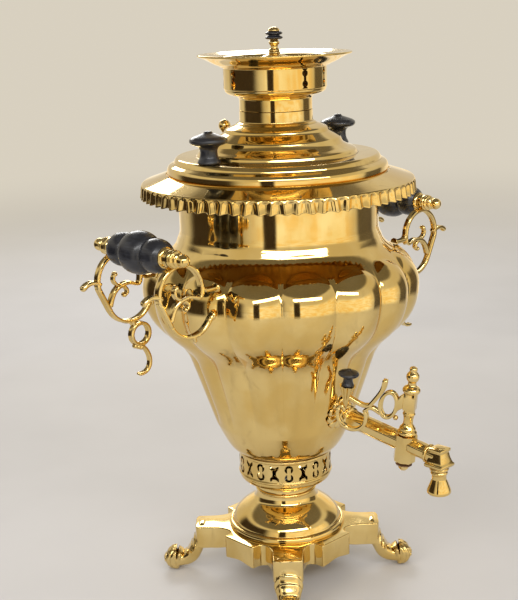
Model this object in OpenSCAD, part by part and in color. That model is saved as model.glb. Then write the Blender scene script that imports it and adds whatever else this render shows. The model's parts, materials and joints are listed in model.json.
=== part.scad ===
// Charcoal samovar: a lobed brass urn on a pierced blower and a four-footed
// base, with a fire tube, a lifting lid, a pot ring, two scroll handles and a
// plug tap. Millimetres. +Z is up, the tap points along -Y, the handles stand
// on +X and -X, and the origin is on the urn's axis at table level.

/* [Sheet and fits] */
// Thickness of the sheet brass
sheet = 1.2; // [0.9:0.1:1.5]
// Gap between pieces that are fastened together
seat_gap = 0.05; // [0.02:0.01:0.1]
// Gap between pieces that lift off each other
lift_gap = 0.3; // [0.2:0.05:0.5]
// Radial gap of a turning or sliding fit
run_gap = 0.05; // [0.02:0.01:0.09]

/* [Base plate and feet] */
// Height of the plate's top above the table
plate_z = 45; // [42:0.5:50]
// Distance from the axis to a flat side
plate_half = 62; // [58:0.5:66]
// Half the length of a flat side
flat_half = 18; // [14:0.5:20]
// Distance from the axis to a corner tip
corner_r = 84; // [82:0.5:88]
// Thickness of the plate's top
plate_t = 3; // [2:0.5:4]
// Depth of the skirt below the plate's top
skirt_h = 20.5; // [16:0.5:22]
// Thickness of the skirt
skirt_t = 2.5; // [2:0.5:3]
// Rise of the arch in the skirt's lower edge
skirt_arch = 2.4; // [1:0.2:4]
// Width of a foot's leg under the plate
leg_w = 26; // [22:0.5:28]
// Width of a foot at its ankle
ankle_w = 17; // [14:0.5:19]
// Width of a foot's toe
toe_w = 23; // [20:0.5:26]
// Number of ribs on a toe
toe_ribs = 5; // [3:1:6]
// Distance from the axis to the tip of a toe
toe_r = 115.5; // [112:0.5:120]
// Radius of a foot screw
foot_screw_r = 2; // [1.5:0.25:2.5]

/* [Pedestal] */
// Radius of the pedestal's lip
pedestal_r = 52.9; // [50:0.5:56]
// Height of the pedestal
pedestal_h = 43; // [38:0.5:48]
// Radius of the pedestal's neck
pedestal_neck_r = 25; // [22:0.5:28]
// Radius of the bolt that ties the pedestal to the plate
tie_bolt_r = 3; // [2:0.5:4]

/* [Blower] */
// Outer radius of the pierced band
band_r = 41.6; // [39:0.2:42.6]
// Height of the blower from its floor to the fire tube's flange
band_h = 30; // [26:0.5:34]
// Number of crescent pairs round the band, with a cross between each two
band_motifs = 10; // [8:1:12]
// Height of the pierced openings
motif_h = 16; // [12:0.5:18]

/* [Body] */
// Height of the body from the flange to the neck's top edge
body_h = 230; // [215:1:245]
// Radius at the bottom, above the bead
root_r = 61.4; // [56:0.5:64]
// Radius where the lower bowl turns outwards
waist_r = 82.5; // [78:0.5:88]
// Largest radius
belly_r = 121; // [117:0.5:126]
// Radius of the neck
neck_r = 86; // [83:0.5:90]
// Number of lobes
lobes = 16; // [12:1:20]
// Depth of the creases between the lobes at the belly
lobe_depth = 5; // [3:0.25:6]
// Drop of an arch from its crown to its springing
arch_drop = 13; // [8:0.5:15]

/* [Fire tube] */
// Outer radius of the fire chamber
fire_r = 38; // [35:0.5:38.5]
// Outer radius of the chimney
chimney_r = 28; // [25:0.5:28.3]
// Height of the chimney above the neck's top edge
chimney_h = 109.5; // [105:0.5:112]
// Thickness of the fire tube
tube_t = 1.5; // [1.2:0.1:2]
// Thickness of the grate
grate_t = 4; // [3:0.5:6]

/* [Pleated ring] */
// Radius of the ring's edge
ring_r = 116.6; // [112:0.5:120]
// Height of the ring's edge above the neck's top edge
ring_z = 13.8; // [12:0.2:16]
// Number of pleats
pleats = 48; // [40:1:56]
// Length of the pleats
pleat_h = 10.8; // [8:0.2:12]

/* [Lid] */
// Radius of the lid's rim
lid_r = 94.5; // [92:0.5:97]
// Height of the lid from its rim's lower edge to the collar's top
lid_h = 52.6; // [48:0.2:56]
// Radius of the lid's collar round the chimney
collar_r = 31.2; // [31:0.1:33]
// Distance of a lid knob inside the lid's rim
lid_knob_in = 16.5; // [15.5:0.5:18]
// Radius of a lid knob's disc
lid_knob_r = 15.9; // [13:0.1:18]
// Height of a lid knob
lid_knob_h = 26.5; // [22:0.5:30]
// Distance of the steam vent inside the lid's rim
vent_in = 29.5; // [28.5:0.5:32]
// Radius of the steam vent's ball
vent_ball_r = 5.4; // [4:0.1:6.5]

/* [Crown and chimney cap] */
// Radius of the crown's dish
dish_r = 65; // [60:0.5:70]
// Radius of the crown's gallery
gallery_r = 43.6; // [41:0.2:46]
// Height of the crown
crown_h = 47; // [44:0.5:50]
// Height of the crown's gallery
gallery_h = 18; // [17:0.5:20]
// Number of pairs of openings round the gallery
gallery_pairs = 3; // [2:1:4]
// Radius of the chimney cap
cap_r = 32; // [30:0.5:36]
// Radius of the cap knob's discs
cap_knob_r = 7.4; // [6:0.1:9]

/* [Handles] */
// Distance of the grip's axis outside the belly
grip_out = 33; // [30:0.5:38]
// Height of the grip's axis below the neck's top edge
grip_drop = 25.5; // [23:0.5:28]
// Largest radius of the grip
grip_r = 17.3; // [15:0.1:18.5]
// Length of the grip
grip_l = 62; // [56:0.5:70]
// Width of a bracket's boss
boss_w = 8; // [6:0.5:10]
// Width of a bracket's scrolls
band_w = 6.5; // [4:0.5:7]
// Thickness of a bracket's scrolls
scroll_t = 3; // [2:0.1:3.6]
// Radius of the rod through the grip
rod_r = 2.5; // [2:0.1:3.2]
// Radius of the studs that fasten the brackets
stud_r = 2; // [1.5:0.1:2.5]

/* [Tap] */
// Height of the tap's root above the body's bottom edge
tap_rise = 46; // [42:0.5:52]
// Distance from the body to the key's axis, along the tube
tap_reach = 75; // [70:0.5:85]
// Slope of the tube below the horizontal
tap_tilt = 7; // [4:0.5:10]
// Width of the eight-sided tube across its flats
tube_w = 15; // [13:0.2:16]
// Width of the eight-sided barrel across its flats
barrel_w = 17; // [16:0.2:19]
// Height of the barrel
barrel_h = 25; // [23:0.5:28]
// Radius of the plug at the barrel's middle
plug_r = 5.4; // [5:0.1:5.8]
// Radius of the water way
way_r = 3.5; // [3:0.1:4]
// Distance from the key's axis to the spout's axis
spout_out = 34; // [32:0.5:38]
// Radius of the spout's mouth
mouth_r = 9.8; // [8.5:0.1:11]
// Radius of the bore at the mouth
outlet_r = 4; // [3.6:0.1:4.5]
// Radius of the petalled plate at the tap's root
rosette_r = 15; // [13.5:0.5:17]
// Number of petals
petals = 10; // [8:1:12]

/* [Key and lever] */
// Height of the key's finial above the tube's axis
key_h = 67.5; // [64:0.5:72]
// Width of the key's square block
key_block = 9.6; // [8.5:0.1:11]
// Angle between the closed lever and the tube
lever_turn = 22; // [20:0.5:30]
// Distance from the key's axis to the lever's knob
lever_reach = 54; // [52:0.5:58]
// Width of the lever's band
lever_w = 5.5; // [4:0.1:6]
// Thickness of the lever's band
lever_t = 3; // [2.2:0.1:3.4]
// Radius of the lever knob's disc
lever_knob_r = 8.9; // [7:0.1:10]

/* [Hidden] */
$fn = 64;

// Colours
brass = "#c9982e";
brass_light = "#d8ab45";
black_wood = "#1c1a1b";
iron = "#4a4744";
steel = "#8d8d90";
fibre = "#7c5a3c";

// ---- small helpers ----
eps = 0.01;
function unit(v) = v / norm(v);
function along(a, b, t) = a + (b - a) * t;
function bez(a, b, c, d, n) = [for (i = [0:n]) let (t = i / n, u = 1 - t)
    u * u * u * a + 3 * u * u * t * b + 3 * u * t * t * c + t * t * t * d];
function arc(c, r, a0, a1, n) =
    [for (i = [0:n]) c + r * [cos(along(a0, a1, i / n)), sin(along(a0, a1, i / n))]];
function normal_at(p, i) = let (a = p[max(i - 1, 0)], b = p[min(i + 1, len(p) - 1)],
    u = unit(b - a)) [-u.y, u.x];
// Outline of a band of thickness t0 to t1 along an open path
function band(p, t0, t1) = let (n = len(p) - 1) concat(
    [for (i = [0:n]) p[i] + normal_at(p, i) * along(t0, t1, i / n) / 2],
    [for (i = [n:-1:0]) p[i] - normal_at(p, i) * along(t0, t1, i / n) / 2]);
// A closed outline moved inwards by d
function inset(p, d) = let (n = len(p)) [for (i = [0:n - 1])
    let (a = p[(i + n - 1) % n], b = p[i], c = p[(i + 1) % n],
        u = unit(b - a), v = unit(c - b), m = unit([-u.y - v.y, u.x + v.x]))
    b + m * d / max(0.6, m * [-u.y, u.x])];
module scroll(p, t0, t1) {
    polygon(band(p, t0, t1));
    translate(p[0]) circle(d = t0);
    translate(p[len(p) - 1]) circle(d = t1);
}
module turned(p) rotate_extrude() polygon(p);
module tube(r, ri, h) difference() {
    cylinder(r = r, h = h);
    translate([0, 0, -eps]) cylinder(r = ri, h = h + 2 * eps);
}
// A solid with a square plan, whose four sides all follow the outline p
module square_turned(p) intersection_for (a = [0, 90]) rotate([90, 0, a])
    linear_extrude(6 * p[0].x, center = true)
        polygon(concat(p, [for (i = [len(p) - 1:-1:0]) [-p[i].x, p[i].y]]));
module octagon_bar(w, h) cylinder(r = w / 2 / cos(22.5), h = h, $fn = 8);
module hex_nut(w, ri, h) difference() {
    cylinder(r = w / 2 / cos(30), h = h, $fn = 6);
    translate([0, 0, -eps]) cylinder(r = ri, h = h + 2 * eps);
}

// ---- heights ----
band_z = plate_z + pedestal_h;
flange_z = band_z + band_h;
body_z = flange_z + tube_t + seat_gap;
neck_z = body_z + body_h;
chimney_z = neck_z + chimney_h;

// ---- body outline: crown radius by height ----
lobe_bottom_z = body_z + 27.5;
lobe_top_z = body_z + 0.79 * body_h;
waist_z = body_z + 0.39 * body_h;
belly_z = body_z + 0.668 * body_h;
shoulder_z = body_z + 0.889 * body_h;
bead = bez([42.6, 0], [50, 2], [53.5, 11], [root_r, lobe_bottom_z - body_z], 4);
bowl = bez([root_r, lobe_bottom_z - body_z],
    [along(root_r, waist_r, 0.36), along(lobe_bottom_z, waist_z, 0.36) - body_z],
    [waist_r - 6, waist_z - 17 - body_z], [waist_r, waist_z - body_z], 3);
flare = bez([waist_r, waist_z - body_z], [waist_r + 9.5, waist_z + 22 - body_z],
    [belly_r, belly_z - 39 - body_z], [belly_r, belly_z - body_z], 7);
crest = bez([belly_r, belly_z - body_z], [belly_r, belly_z + 28 - body_z],
    [neck_r, shoulder_z - 24 - body_z], [neck_r, shoulder_z - body_z], 14);
outline = concat(bead, [for (i = [1:len(bowl) - 1]) bowl[i]],
    [for (i = [1:len(flare) - 1]) flare[i]], [for (i = [1:len(crest) - 1]) crest[i]],
    [[neck_r, body_h]]);
crown_table = [for (p = outline) [p.y + body_z, p.x]];
function crown_at(z) = lookup(z, crown_table);
function crease_at(z) = lobe_depth * lookup(z, [[lobe_bottom_z, 0],
    [lobe_bottom_z + 14, 0.35], [waist_z, 0.6], [belly_z - 20, 1], [belly_z + 8, 1],
    [lobe_top_z, 0.5], [lobe_top_z + 10, 0]]);
lobe_half = 180 / lobes;
function arch_z(f) = lobe_top_z - arch_drop * (1 - sqrt(max(0, 1 - f * f)));
function ramp(x) = let (t = max(0, min(1, x))) t * t * (3 - 2 * t);
arch_edge = 5;
// Radius of the outer skin at height z and a share f of the way to a crease
function skin_at(z, f) = crown_at(z) - crease_at(z)
    + crease_at(z) * (1 - f * f) * ramp((arch_z(f) - z) / arch_edge);
function lobe_share(angle) = let (k = (angle / lobe_half + 4000) % 2)
    k > 1 ? k - 2 : k;
function skin(z, angle) = skin_at(z, 1 - abs(lobe_share(angle)));
function wall_in(z) = crown_at(z) - crease_at(z) - sheet;
// Distance of the skin from the plane x = 0, y off the X axis
function skin_x(y, z) = let (r = crown_at(z), a = asin(y / r), s = skin(z, a))
    sqrt(s * s - y * y);
function patch_out(y, z, a, b) = max([for (i = [-1:0.25:1]) for (j = [-1:0.25:1])
    skin_x(y + i * a, z + j * b)]);
function patch_in(y, z, a) = min([for (i = [-1:0.5:1]) for (j = [-1:0.25:1])
    sqrt(pow(wall_in(z + j * a), 2) - pow(y + i * a, 2))]);

// Rows of the skin: height and how far the row bends with the arches
rows = concat(
    [for (p = bead) [p.y + body_z, 0]],
    [for (i = [1:len(bowl) - 1]) [bowl[i].y + body_z, 0]],
    [for (i = [1:len(flare) - 1]) [flare[i].y + body_z, 0]],
    [for (d = [[22, 0.3], [14, 0.65], [8, 0.9], [4, 1], [0, 1], [-6, 0.6], [-13, 0]])
        [lobe_top_z - d[0], d[1]]],
    [[shoulder_z - 2, 0], [neck_z, 0]]);
lobe_steps = 6;
function row_z(row, f) = row[0] - row[1] * (lobe_top_z - arch_z(f));

module skin_solid() {
    n = lobes * lobe_steps;
    m = len(rows);
    function share(i) = let (k = i % lobe_steps) 1 - 2 * min(k, lobe_steps - k) / lobe_steps;
    points = [for (row = rows) for (i = [0:n - 1])
        let (f = share(i), z = row_z(row, f), r = skin_at(z, f), a = 360 * i / n)
        [r * cos(a), r * sin(a), z]];
    faces = concat([[for (i = [0:n - 1]) i]],
        [[for (i = [n - 1:-1:0]) (m - 1) * n + i]],
        [for (j = [0:m - 2]) for (i = [0:n - 1]) let (k = (i + 1) % n)
            [j * n + i, (j + 1) * n + i, (j + 1) * n + k]],
        [for (j = [0:m - 2]) for (i = [0:n - 1]) let (k = (i + 1) % n)
            [j * n + i, (j + 1) * n + k, j * n + k]]);
    polyhedron(points, faces);
}

// ---- base plate and feet ----
notch = bez([plate_half - 6, flat_half + 0.4], [plate_half - 14, flat_half + 1],
    [plate_half - 12, flat_half + 12], [plate_half - 5, flat_half + 20], 7);
// each corner ends in a blunt tip, as wide as the leg below it
tip_side = [corner_r - 1 + leg_w / 2, corner_r - 1 - leg_w / 2] / sqrt(2);
corner = concat(bez([plate_half - 5, flat_half + 20], [plate_half - 2, flat_half + 23.4],
    tip_side - [2.4, 2.6], tip_side, 4),
    [(tip_side + [corner_r, corner_r] / sqrt(2)) / 2 + [0.9, 0.6], [corner_r, corner_r] / sqrt(2)]);
eighth = concat([[plate_half, flat_half]], notch, [for (i = [1:len(corner) - 1]) corner[i]]);
quarter = concat(eighth, [for (i = [len(eighth) - 2:-1:0]) [eighth[i].y, eighth[i].x]]);
function turn(p, a) = [p.x * cos(a) - p.y * sin(a), p.x * sin(a) + p.y * cos(a)];
plate_outline = [for (k = [0:3]) for (p = quarter) turn(p, 90 * k)];
plate_under = plate_z - plate_t;
leg_back = corner_r - 10;
foot_lug_r = corner_r - 17;
foot_lug_t = 4;
foot_side = concat(
    [[corner_r - 1.2, plate_under - seat_gap]],
    bez([corner_r + 0.4, plate_under - 6], [corner_r + 4, plate_under * 0.55],
        [corner_r + 7, plate_under * 0.42], [corner_r + 14, plate_under * 0.4], 8),
    [[toe_r - 13, plate_under * 0.42], [toe_r - 9, plate_under * 0.4], [toe_r - 8, 4],
    [toe_r - 9, 0], [toe_r - 19, 0]],
    bez([toe_r - 20, 0.3], [corner_r + 6, 2], [corner_r, 6], [leg_back + 4, plate_z - skirt_h], 7),
    [[leg_back + 1, plate_z - skirt_h + 4], [leg_back, plate_under - seat_gap]]);
corner_angles = [225, 315, 135, 45];

// Plan of a foot: the leg narrows outwards to the ankle, before the toe
toe_rise = plate_under * 0.25;
foot_plan = concat([[foot_lug_r, leg_w / 2 - 0.5], [leg_back, leg_w / 2]],
    bez([corner_r + 1, leg_w / 2], [corner_r + 5, leg_w / 2 - 0.5], [corner_r + 7, ankle_w / 2 + 1.5],
        [corner_r + 13, ankle_w / 2], 7),
    [[toe_r - 14, ankle_w / 2 - 0.8], [toe_r - 9, ankle_w / 2 - 2.6]]);
// The leg's front follows an arc round this point, which lies outside it
leg_arc = [corner_r + 32, plate_under + 4];
leg_arc_r = 33.6;
column_w = leg_w * 0.56;
module foot(corner_angle) color(brass) rotate([0, 0, corner_angle]) {
    difference() {
        union() {
            intersection() {
                rotate([90, 0, 0]) translate([0, 0, -leg_w / 2 - 1])
                    linear_extrude(leg_w + 2) polygon(foot_side);
                linear_extrude(plate_under) polygon(concat(foot_plan,
                    [for (i = [len(foot_plan) - 1:-1:0]) [foot_plan[i].x, -foot_plan[i].y]]));
            }
            column(190, 246, 0.6);
            toe();
            translate([foot_lug_r, 0, plate_under - seat_gap - foot_lug_t])
                cylinder(r = 6.5, h = foot_lug_t);
            translate([foot_lug_r, -6.5, plate_under - seat_gap - foot_lug_t])
                cube([leg_back + 1 - foot_lug_r, 13, foot_lug_t]);
        }
        translate([foot_lug_r, 0, plate_under - foot_lug_t - 1])
            cylinder(r = foot_screw_r + 0.2, h = foot_lug_t + 2);
    }
}
// A rounded column down the front of the leg, from one angle of its arc to another
module column(a0, a1, proud) translate([leg_arc.x, 0, leg_arc.y]) rotate([90, 0, 0])
    rotate([0, 0, a0]) rotate_extrude(angle = a1 - a0)
        polygon(concat([[leg_arc_r + 3, -column_w / 2], [leg_arc_r + 3, column_w / 2]],
            [for (p = bez([leg_arc_r, column_w / 2], [leg_arc_r - proud - 1, column_w * 0.42],
                [leg_arc_r - proud - 1.9, column_w * 0.16], [leg_arc_r - proud - 2, 0], 6)) p],
            [for (p = bez([leg_arc_r - proud - 2, 0], [leg_arc_r - proud - 1.9, -column_w * 0.16],
                [leg_arc_r - proud - 1, -column_w * 0.42], [leg_arc_r, -column_w / 2], 6)) p]));
// The upturned toe: a fan of rounded ribs in plan, cut to a round side view
toe_back = toe_r - 20;
fan_half = asin(toe_w / 2 / (toe_r - toe_back));
fan = [for (i = [0:toe_ribs * 6]) let (a = fan_half * (i / (toe_ribs * 3) - 1),
        r = toe_r - toe_back - 1.9 + 1.9 * sin(180 * (i % 6) / 6))
    [toe_back + r * cos(a), r * sin(a)]];
module toe() intersection() {
    linear_extrude(2 * toe_rise) polygon(concat([[toe_back, -ankle_w / 4]], fan, [[toe_back, ankle_w / 4]]));
    translate([toe_r - toe_rise, toe_w, toe_rise]) rotate([90, 0, 0])
        cylinder(r = toe_rise, h = 2 * toe_w);
}
module foot_slot(corner_angle) rotate([0, 0, corner_angle])
    translate([leg_back - 2, -leg_w / 2 - 1.5, plate_z - skirt_h - 1])
        cube([corner_r, leg_w + 3, skirt_h - plate_t + 1]);

module foot_front_left() foot(corner_angles[0]);
module foot_front_right() foot(corner_angles[1]);
module foot_back_left() foot(corner_angles[2]);
module foot_back_right() foot(corner_angles[3]);
screw_head_h = 2.4;
module foot_screws() color(steel) for (a = corner_angles) rotate([0, 0, a])
    translate([foot_lug_r, 0, plate_under - seat_gap * 2 - foot_lug_t - screw_head_h]) {
        difference() {
            cylinder(r = foot_screw_r * 1.9, h = screw_head_h);
            translate([-5, -0.5, -eps]) cube([10, 1, 1]);
        }
        cylinder(r = foot_screw_r, h = screw_head_h + foot_lug_t + plate_t * 0.6);
    }
module base_plate() color(brass) difference() {
    translate([0, 0, plate_z - skirt_h]) linear_extrude(skirt_h) polygon(plate_outline);
    translate([0, 0, plate_z - skirt_h - 1]) linear_extrude(skirt_h - plate_t + 1)
        polygon(inset(plate_outline, skirt_t));
    for (a = corner_angles) {
        foot_slot(a);
        rotate([0, 0, a]) translate([foot_lug_r, 0, plate_under - 1])
            cylinder(r = foot_screw_r + seat_gap, h = plate_t * 0.6 + 1.2);
    }
    // a shallow arch in the lower edge of each flat side
    for (a = [0:90:270]) rotate([0, 0, a])
        translate([plate_half, 0, plate_z - skirt_h - 20 + skirt_arch])
            rotate([0, 90, 0]) cylinder(r = 20, h = 3 * skirt_t, center = true);
    translate([0, 0, plate_under - 1]) cylinder(r = tie_bolt_r + 0.2, h = plate_t + 2);
}

// ---- pedestal, its tie bolt and the blower ----
lip_h = 6;
pedestal_outer = concat(
    [[pedestal_r, 0], [pedestal_r, lip_h * 0.65], [pedestal_r - 0.8, lip_h], [pedestal_r - 2.3, lip_h + 0.6]],
    bez([pedestal_r - 2.4, lip_h + 1.2], [pedestal_r - 4.5, pedestal_h * 0.5],
        [pedestal_neck_r + 10, pedestal_h * 0.52], [pedestal_neck_r + 2.6, pedestal_h * 0.74], 12),
    arc([pedestal_neck_r + 1, pedestal_h * 0.8], 1.3, -60, 80, 5),
    bez([pedestal_neck_r + 0.3, pedestal_h * 0.84], [pedestal_neck_r, pedestal_h * 0.9],
        [pedestal_neck_r + 0.2, pedestal_h * 0.95], [pedestal_neck_r + 1.4, pedestal_h], 5));
function shelled(p, t) = [for (i = [len(p) - 1:-1:0]) [p[i].x - t, p[i].y]];
pedestal_t = 2;
neck_floor_t = 3;
module pedestal() color(brass) translate([0, 0, plate_z + seat_gap]) difference() {
    union() {
        turned(concat(pedestal_outer, shelled(pedestal_outer, pedestal_t)));
        // bridge in the neck that the tie bolt pulls on
        translate([0, 0, pedestal_h - neck_floor_t - 4])
            cylinder(r = pedestal_neck_r - 1, h = neck_floor_t);
    }
    translate([0, 0, pedestal_h - neck_floor_t - 5])
        cylinder(r = tie_bolt_r + 0.2, h = neck_floor_t + 2);
}
bolt_head_h = 2.5;
tie_bridge_z = plate_z + seat_gap + pedestal_h - 4;
module tie_bolt() color(steel) {
    translate([0, 0, tie_bridge_z + seat_gap])
        cylinder(r = tie_bolt_r * 1.8, h = bolt_head_h);
    translate([0, 0, plate_under - 9])
        cylinder(r = tie_bolt_r, h = tie_bridge_z - plate_under + 9 + 1);
}
module tie_nut() color(steel) translate([0, 0, plate_under - seat_gap - 5])
    hex_nut(tie_bolt_r * 4, tie_bolt_r + seat_gap, 5);

floor_rise = 8;
blower_outer = concat([[pedestal_neck_r - 6, 0], [pedestal_neck_r + 4, 0]],
    bez([pedestal_neck_r + 5, 0.2], [band_r - 4, 1], [band_r - 0.4, 3],
        [band_r, floor_rise], 8),
    [[band_r + 0.7, floor_rise + 0.6], [band_r + 0.7, floor_rise + 2], [band_r, floor_rise + 2.6],
    [band_r, band_h - 2.6], [band_r + 0.7, band_h - 2], [band_r + 0.7, band_h]]);
blower_inner = [[band_r - sheet, band_h], [band_r - sheet, floor_rise + 1],
    [band_r - 3.5, 4], [pedestal_neck_r + 2, sheet + 0.6], [pedestal_neck_r - 6, sheet + 0.6]];
motif_z = along(floor_rise + 2.6, band_h - 2.6, 0.5);
motif_first = -131;
crescent_r = motif_h * 0.24;
module crescent() difference() {
    circle(r = crescent_r, $fn = 32);
    circle(r = crescent_r * 0.42, $fn = 24);
    translate([-crescent_r * 0.42, -2 * crescent_r]) square([crescent_r * 0.84, 2 * crescent_r]);
}
module cross_hole() difference() {
    square([motif_h * 0.5, motif_h * 0.9], center = true);
    for (s = [-1, 1]) {
        translate([s * motif_h * 0.42, 0]) circle(r = motif_h * 0.32, $fn = 32);
        translate([0, s * motif_h * 0.52]) circle(r = motif_h * 0.19, $fn = 32);
    }
}
module radial_cut(angle, z, r) rotate([0, 0, angle + 90]) translate([0, -r + 3, z])
    rotate([90, 0, 0]) linear_extrude(6) children();
module blower() color(brass) translate([0, 0, band_z + 2 * seat_gap]) difference() {
    turned(concat(blower_outer, blower_inner));
    for (k = [0:band_motifs - 1]) {
        radial_cut(motif_first + k * 360 / band_motifs, motif_z + motif_h * 0.25, band_r)
            crescent();
        radial_cut(motif_first + k * 360 / band_motifs, motif_z - motif_h * 0.25, band_r)
            mirror([0, 1, 0]) crescent();
        radial_cut(motif_first + (k + 0.5) * 360 / band_motifs, motif_z, band_r) cross_hole();
    }
}

// ---- fire tube and grate ----
throat_z = body_z + 0.24 * body_h;
taper_z = body_z + 0.42 * body_h;
module fire_tube() color(brass) turned(concat(
    [[band_r - 0.2, flange_z + 3 * seat_gap], [band_r - 0.2, flange_z + tube_t],
    [fire_r, flange_z + tube_t], [fire_r, throat_z]],
    [for (p = bez([fire_r, throat_z + 1], [fire_r, along(throat_z, taper_z, 0.55)],
        [chimney_r, along(throat_z, taper_z, 0.45)], [chimney_r, taper_z], 8)) p],
    [[chimney_r, chimney_z], [chimney_r - tube_t, chimney_z], [chimney_r - tube_t, taper_z - 1]],
    [for (p = bez([chimney_r - tube_t, taper_z - 2], [chimney_r - tube_t, along(throat_z, taper_z, 0.43)],
        [fire_r - tube_t, along(throat_z, taper_z, 0.53)], [fire_r - tube_t, throat_z - 1], 8)) p],
    [[fire_r - tube_t, flange_z + grate_t + 3], [fire_r - tube_t - 2, flange_z + 2],
    [fire_r - tube_t - 2, flange_z + 3 * seat_gap]]));
grate_r = fire_r - tube_t - 0.4;
bar_pitch = 8;
module grate() color(iron) translate([0, 0, flange_z + 2]) difference() {
    turned([[0, 0.6], [grate_r - 2.4, 0.6], [grate_r - 0.8, grate_t], [0, grate_t]]);
    intersection() {
        translate([0, 0, -1]) cylinder(r = grate_r - 5, h = grate_t + 2);
        for (k = [-3:3]) translate([k * bar_pitch - 2, -grate_r, -1])
            cube([4, 2 * grate_r, grate_t + 2]);
    }
}

// ---- body shell ----
tap_root_z = body_z + tap_rise;
shank_r = 6.5;
stud_ys = [-1, 1];
module body_shell() color(brass_light) difference() {
    skin_solid();
    // drawn with many sides, so that its volume is near the true curve's
    rotate_extrude($fn = 288) polygon(concat([[0, neck_z + 1], [neck_r - sheet, neck_z + 1]],
        [for (i = [len(outline) - 1:-1:1]) let (z = outline[i].y + body_z)
            [wall_in(z) - (z < lobe_bottom_z ? sheet / 2 : 0), z]],
        [[fire_r + 3, body_z + sheet], [0, body_z + sheet]]));
    translate([0, 0, body_z - 1]) cylinder(r = fire_r + 2 * seat_gap, h = 10);
    for (s = [-1, 1]) for (y = stud_ys) {
        bracket_stud(s, y * bracket_y, upper_pad_z, stud_r + 0.2);
        bracket_stud(s, y * bracket_y, lower_pad_z, stud_r + 0.2);
    }
    tap_frame() rotate([-90, 0, 0]) cylinder(r = shank_r + 0.3, h = tap_reach + 15);
}

// ---- pleated ring ----
ring_edge_z = neck_z + ring_z;
seat_z = neck_z + 19;
seat_r = lid_r + 1.5;
drop_r = neck_r - sheet - lift_gap;
ring_t = 1.4;
module pleated_ring() color(brass) {
    turned([[drop_r, neck_z - 9], [drop_r, neck_z + seat_gap], [neck_r + 1.6, neck_z + seat_gap],
        [neck_r + 1.6, neck_z + ring_t], [drop_r + 0.2, neck_z + 2 * ring_t],
        [drop_r + 0.2, seat_z - ring_t - 2], [drop_r + 2.2, seat_z - ring_t],
        [seat_r, seat_z - ring_t], [ring_r - 2 * ring_t, ring_edge_z - ring_t],
        [ring_r - 2 * ring_t, ring_edge_z - 3],
        [ring_r - ring_t, ring_edge_z - 3.4], [ring_r, ring_edge_z - 1.2], [ring_r - 0.4, ring_edge_z],
        [seat_r, seat_z + ring_t], [seat_r - 0.6, seat_z], [drop_r - sheet + 0.8, seat_z],
        [drop_r - sheet, seat_z - 0.8], [drop_r - sheet, neck_z - 9]]);
    // the pleated edge: a thin band with a slightly flared flute for each fold
    translate([0, 0, ring_edge_z - 3 - pleat_h * 0.7])
        tube(ring_r - 2 * ring_t + 0.2, ring_r - 3 * ring_t + 0.2, pleat_h * 0.7 + 1);
    for (k = [0:pleats - 1]) rotate([0, 0, 360 / pleats * k])
        translate([ring_r - 2.1, 0, ring_edge_z - 1.6 - pleat_h]) rotate([0, 4, 0]) difference() {
            cylinder(r1 = ring_r * PI / pleats * 0.5, r2 = ring_r * PI / pleats * 0.4,
                h = pleat_h, $fn = 24);
            translate([-2.6, 0, -eps]) cylinder(r1 = 3, r2 = 2.2, h = pleat_h * 0.7, $fn = 20);
        }
}

// ---- lid ----
lid_z = seat_z + lift_gap;
lid_top_z = lid_z + lid_h;
tread_z = lid_z + 15.4;
collar_z = lid_top_z - 10.7;
collar_in = collar_r - 1.8;
lid_knob_out = lid_r - lid_knob_in;
vent_out = lid_r - vent_in;
step_r = lid_r - 25.5;
cove_r = collar_r + 13.4;
lid_outer = [[lid_r - 0.6, lid_z], [lid_r, lid_z + 3.4], [lid_r - 0.3, lid_z + 6.4],
    [lid_r - 1.6, lid_z + 8.6], [lid_r - 5.8, lid_z + 10.6], [lid_r - 6.4, lid_z + 12.4],
    [lid_r - 7.6, tread_z - 1], [lid_r - 9, tread_z], [step_r, tread_z],
    [step_r - 0.8, tread_z + 1.2], [step_r - 1.6, tread_z + 3.6], [step_r - 3, tread_z + 4.6],
    [step_r - 8, tread_z + 6.4], [step_r - 12.6, tread_z + 9.2], [step_r - 13.8, tread_z + 11.6],
    [step_r - 14.6, tread_z + 14], [cove_r + 5.4, collar_z - 10], [cove_r, collar_z - 7],
    [cove_r - 0.8, collar_z - 4.6], [cove_r - 2, collar_z - 3.6], [collar_r + 6.8, collar_z - 1.8],
    [collar_r + 3.2, collar_z - 0.6], [collar_r + 2.4, collar_z + 0.6], [collar_r, collar_z + 1.4],
    [collar_r, lid_top_z]];
function dropped(p, t) = [for (i = [len(p) - 1:-1:0]) [p[i].x - t, p[i].y - t]];
lid_under = [for (i = [len(lid_outer) - 3:-1:4])
    [lid_outer[i].x - sheet * 0.6, lid_outer[i].y - sheet * 1.1]];
skirt_in_r = drop_r - sheet - lift_gap;
vent_hole_r = 3.4;
module lid() color(brass) difference() {
    turned(concat(lid_outer, [[collar_in, lid_top_z], [collar_in, collar_z - 1]], lid_under,
        [[lid_r - 7.6, lid_z + 9], [lid_r - 7.8, lid_z + 2], [skirt_in_r - sheet, lid_z + 2],
        [skirt_in_r - sheet, lid_z - 11], [skirt_in_r, lid_z - 11], [skirt_in_r, lid_z]]));
    for (s = [-1, 1]) translate([s * lid_knob_out, 0, tread_z - 10])
        cylinder(r = knob_screw_r + 0.2, h = 20);
    translate([0, vent_out, lid_z]) cylinder(r = vent_hole_r + seat_gap, h = 40);
}
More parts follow.
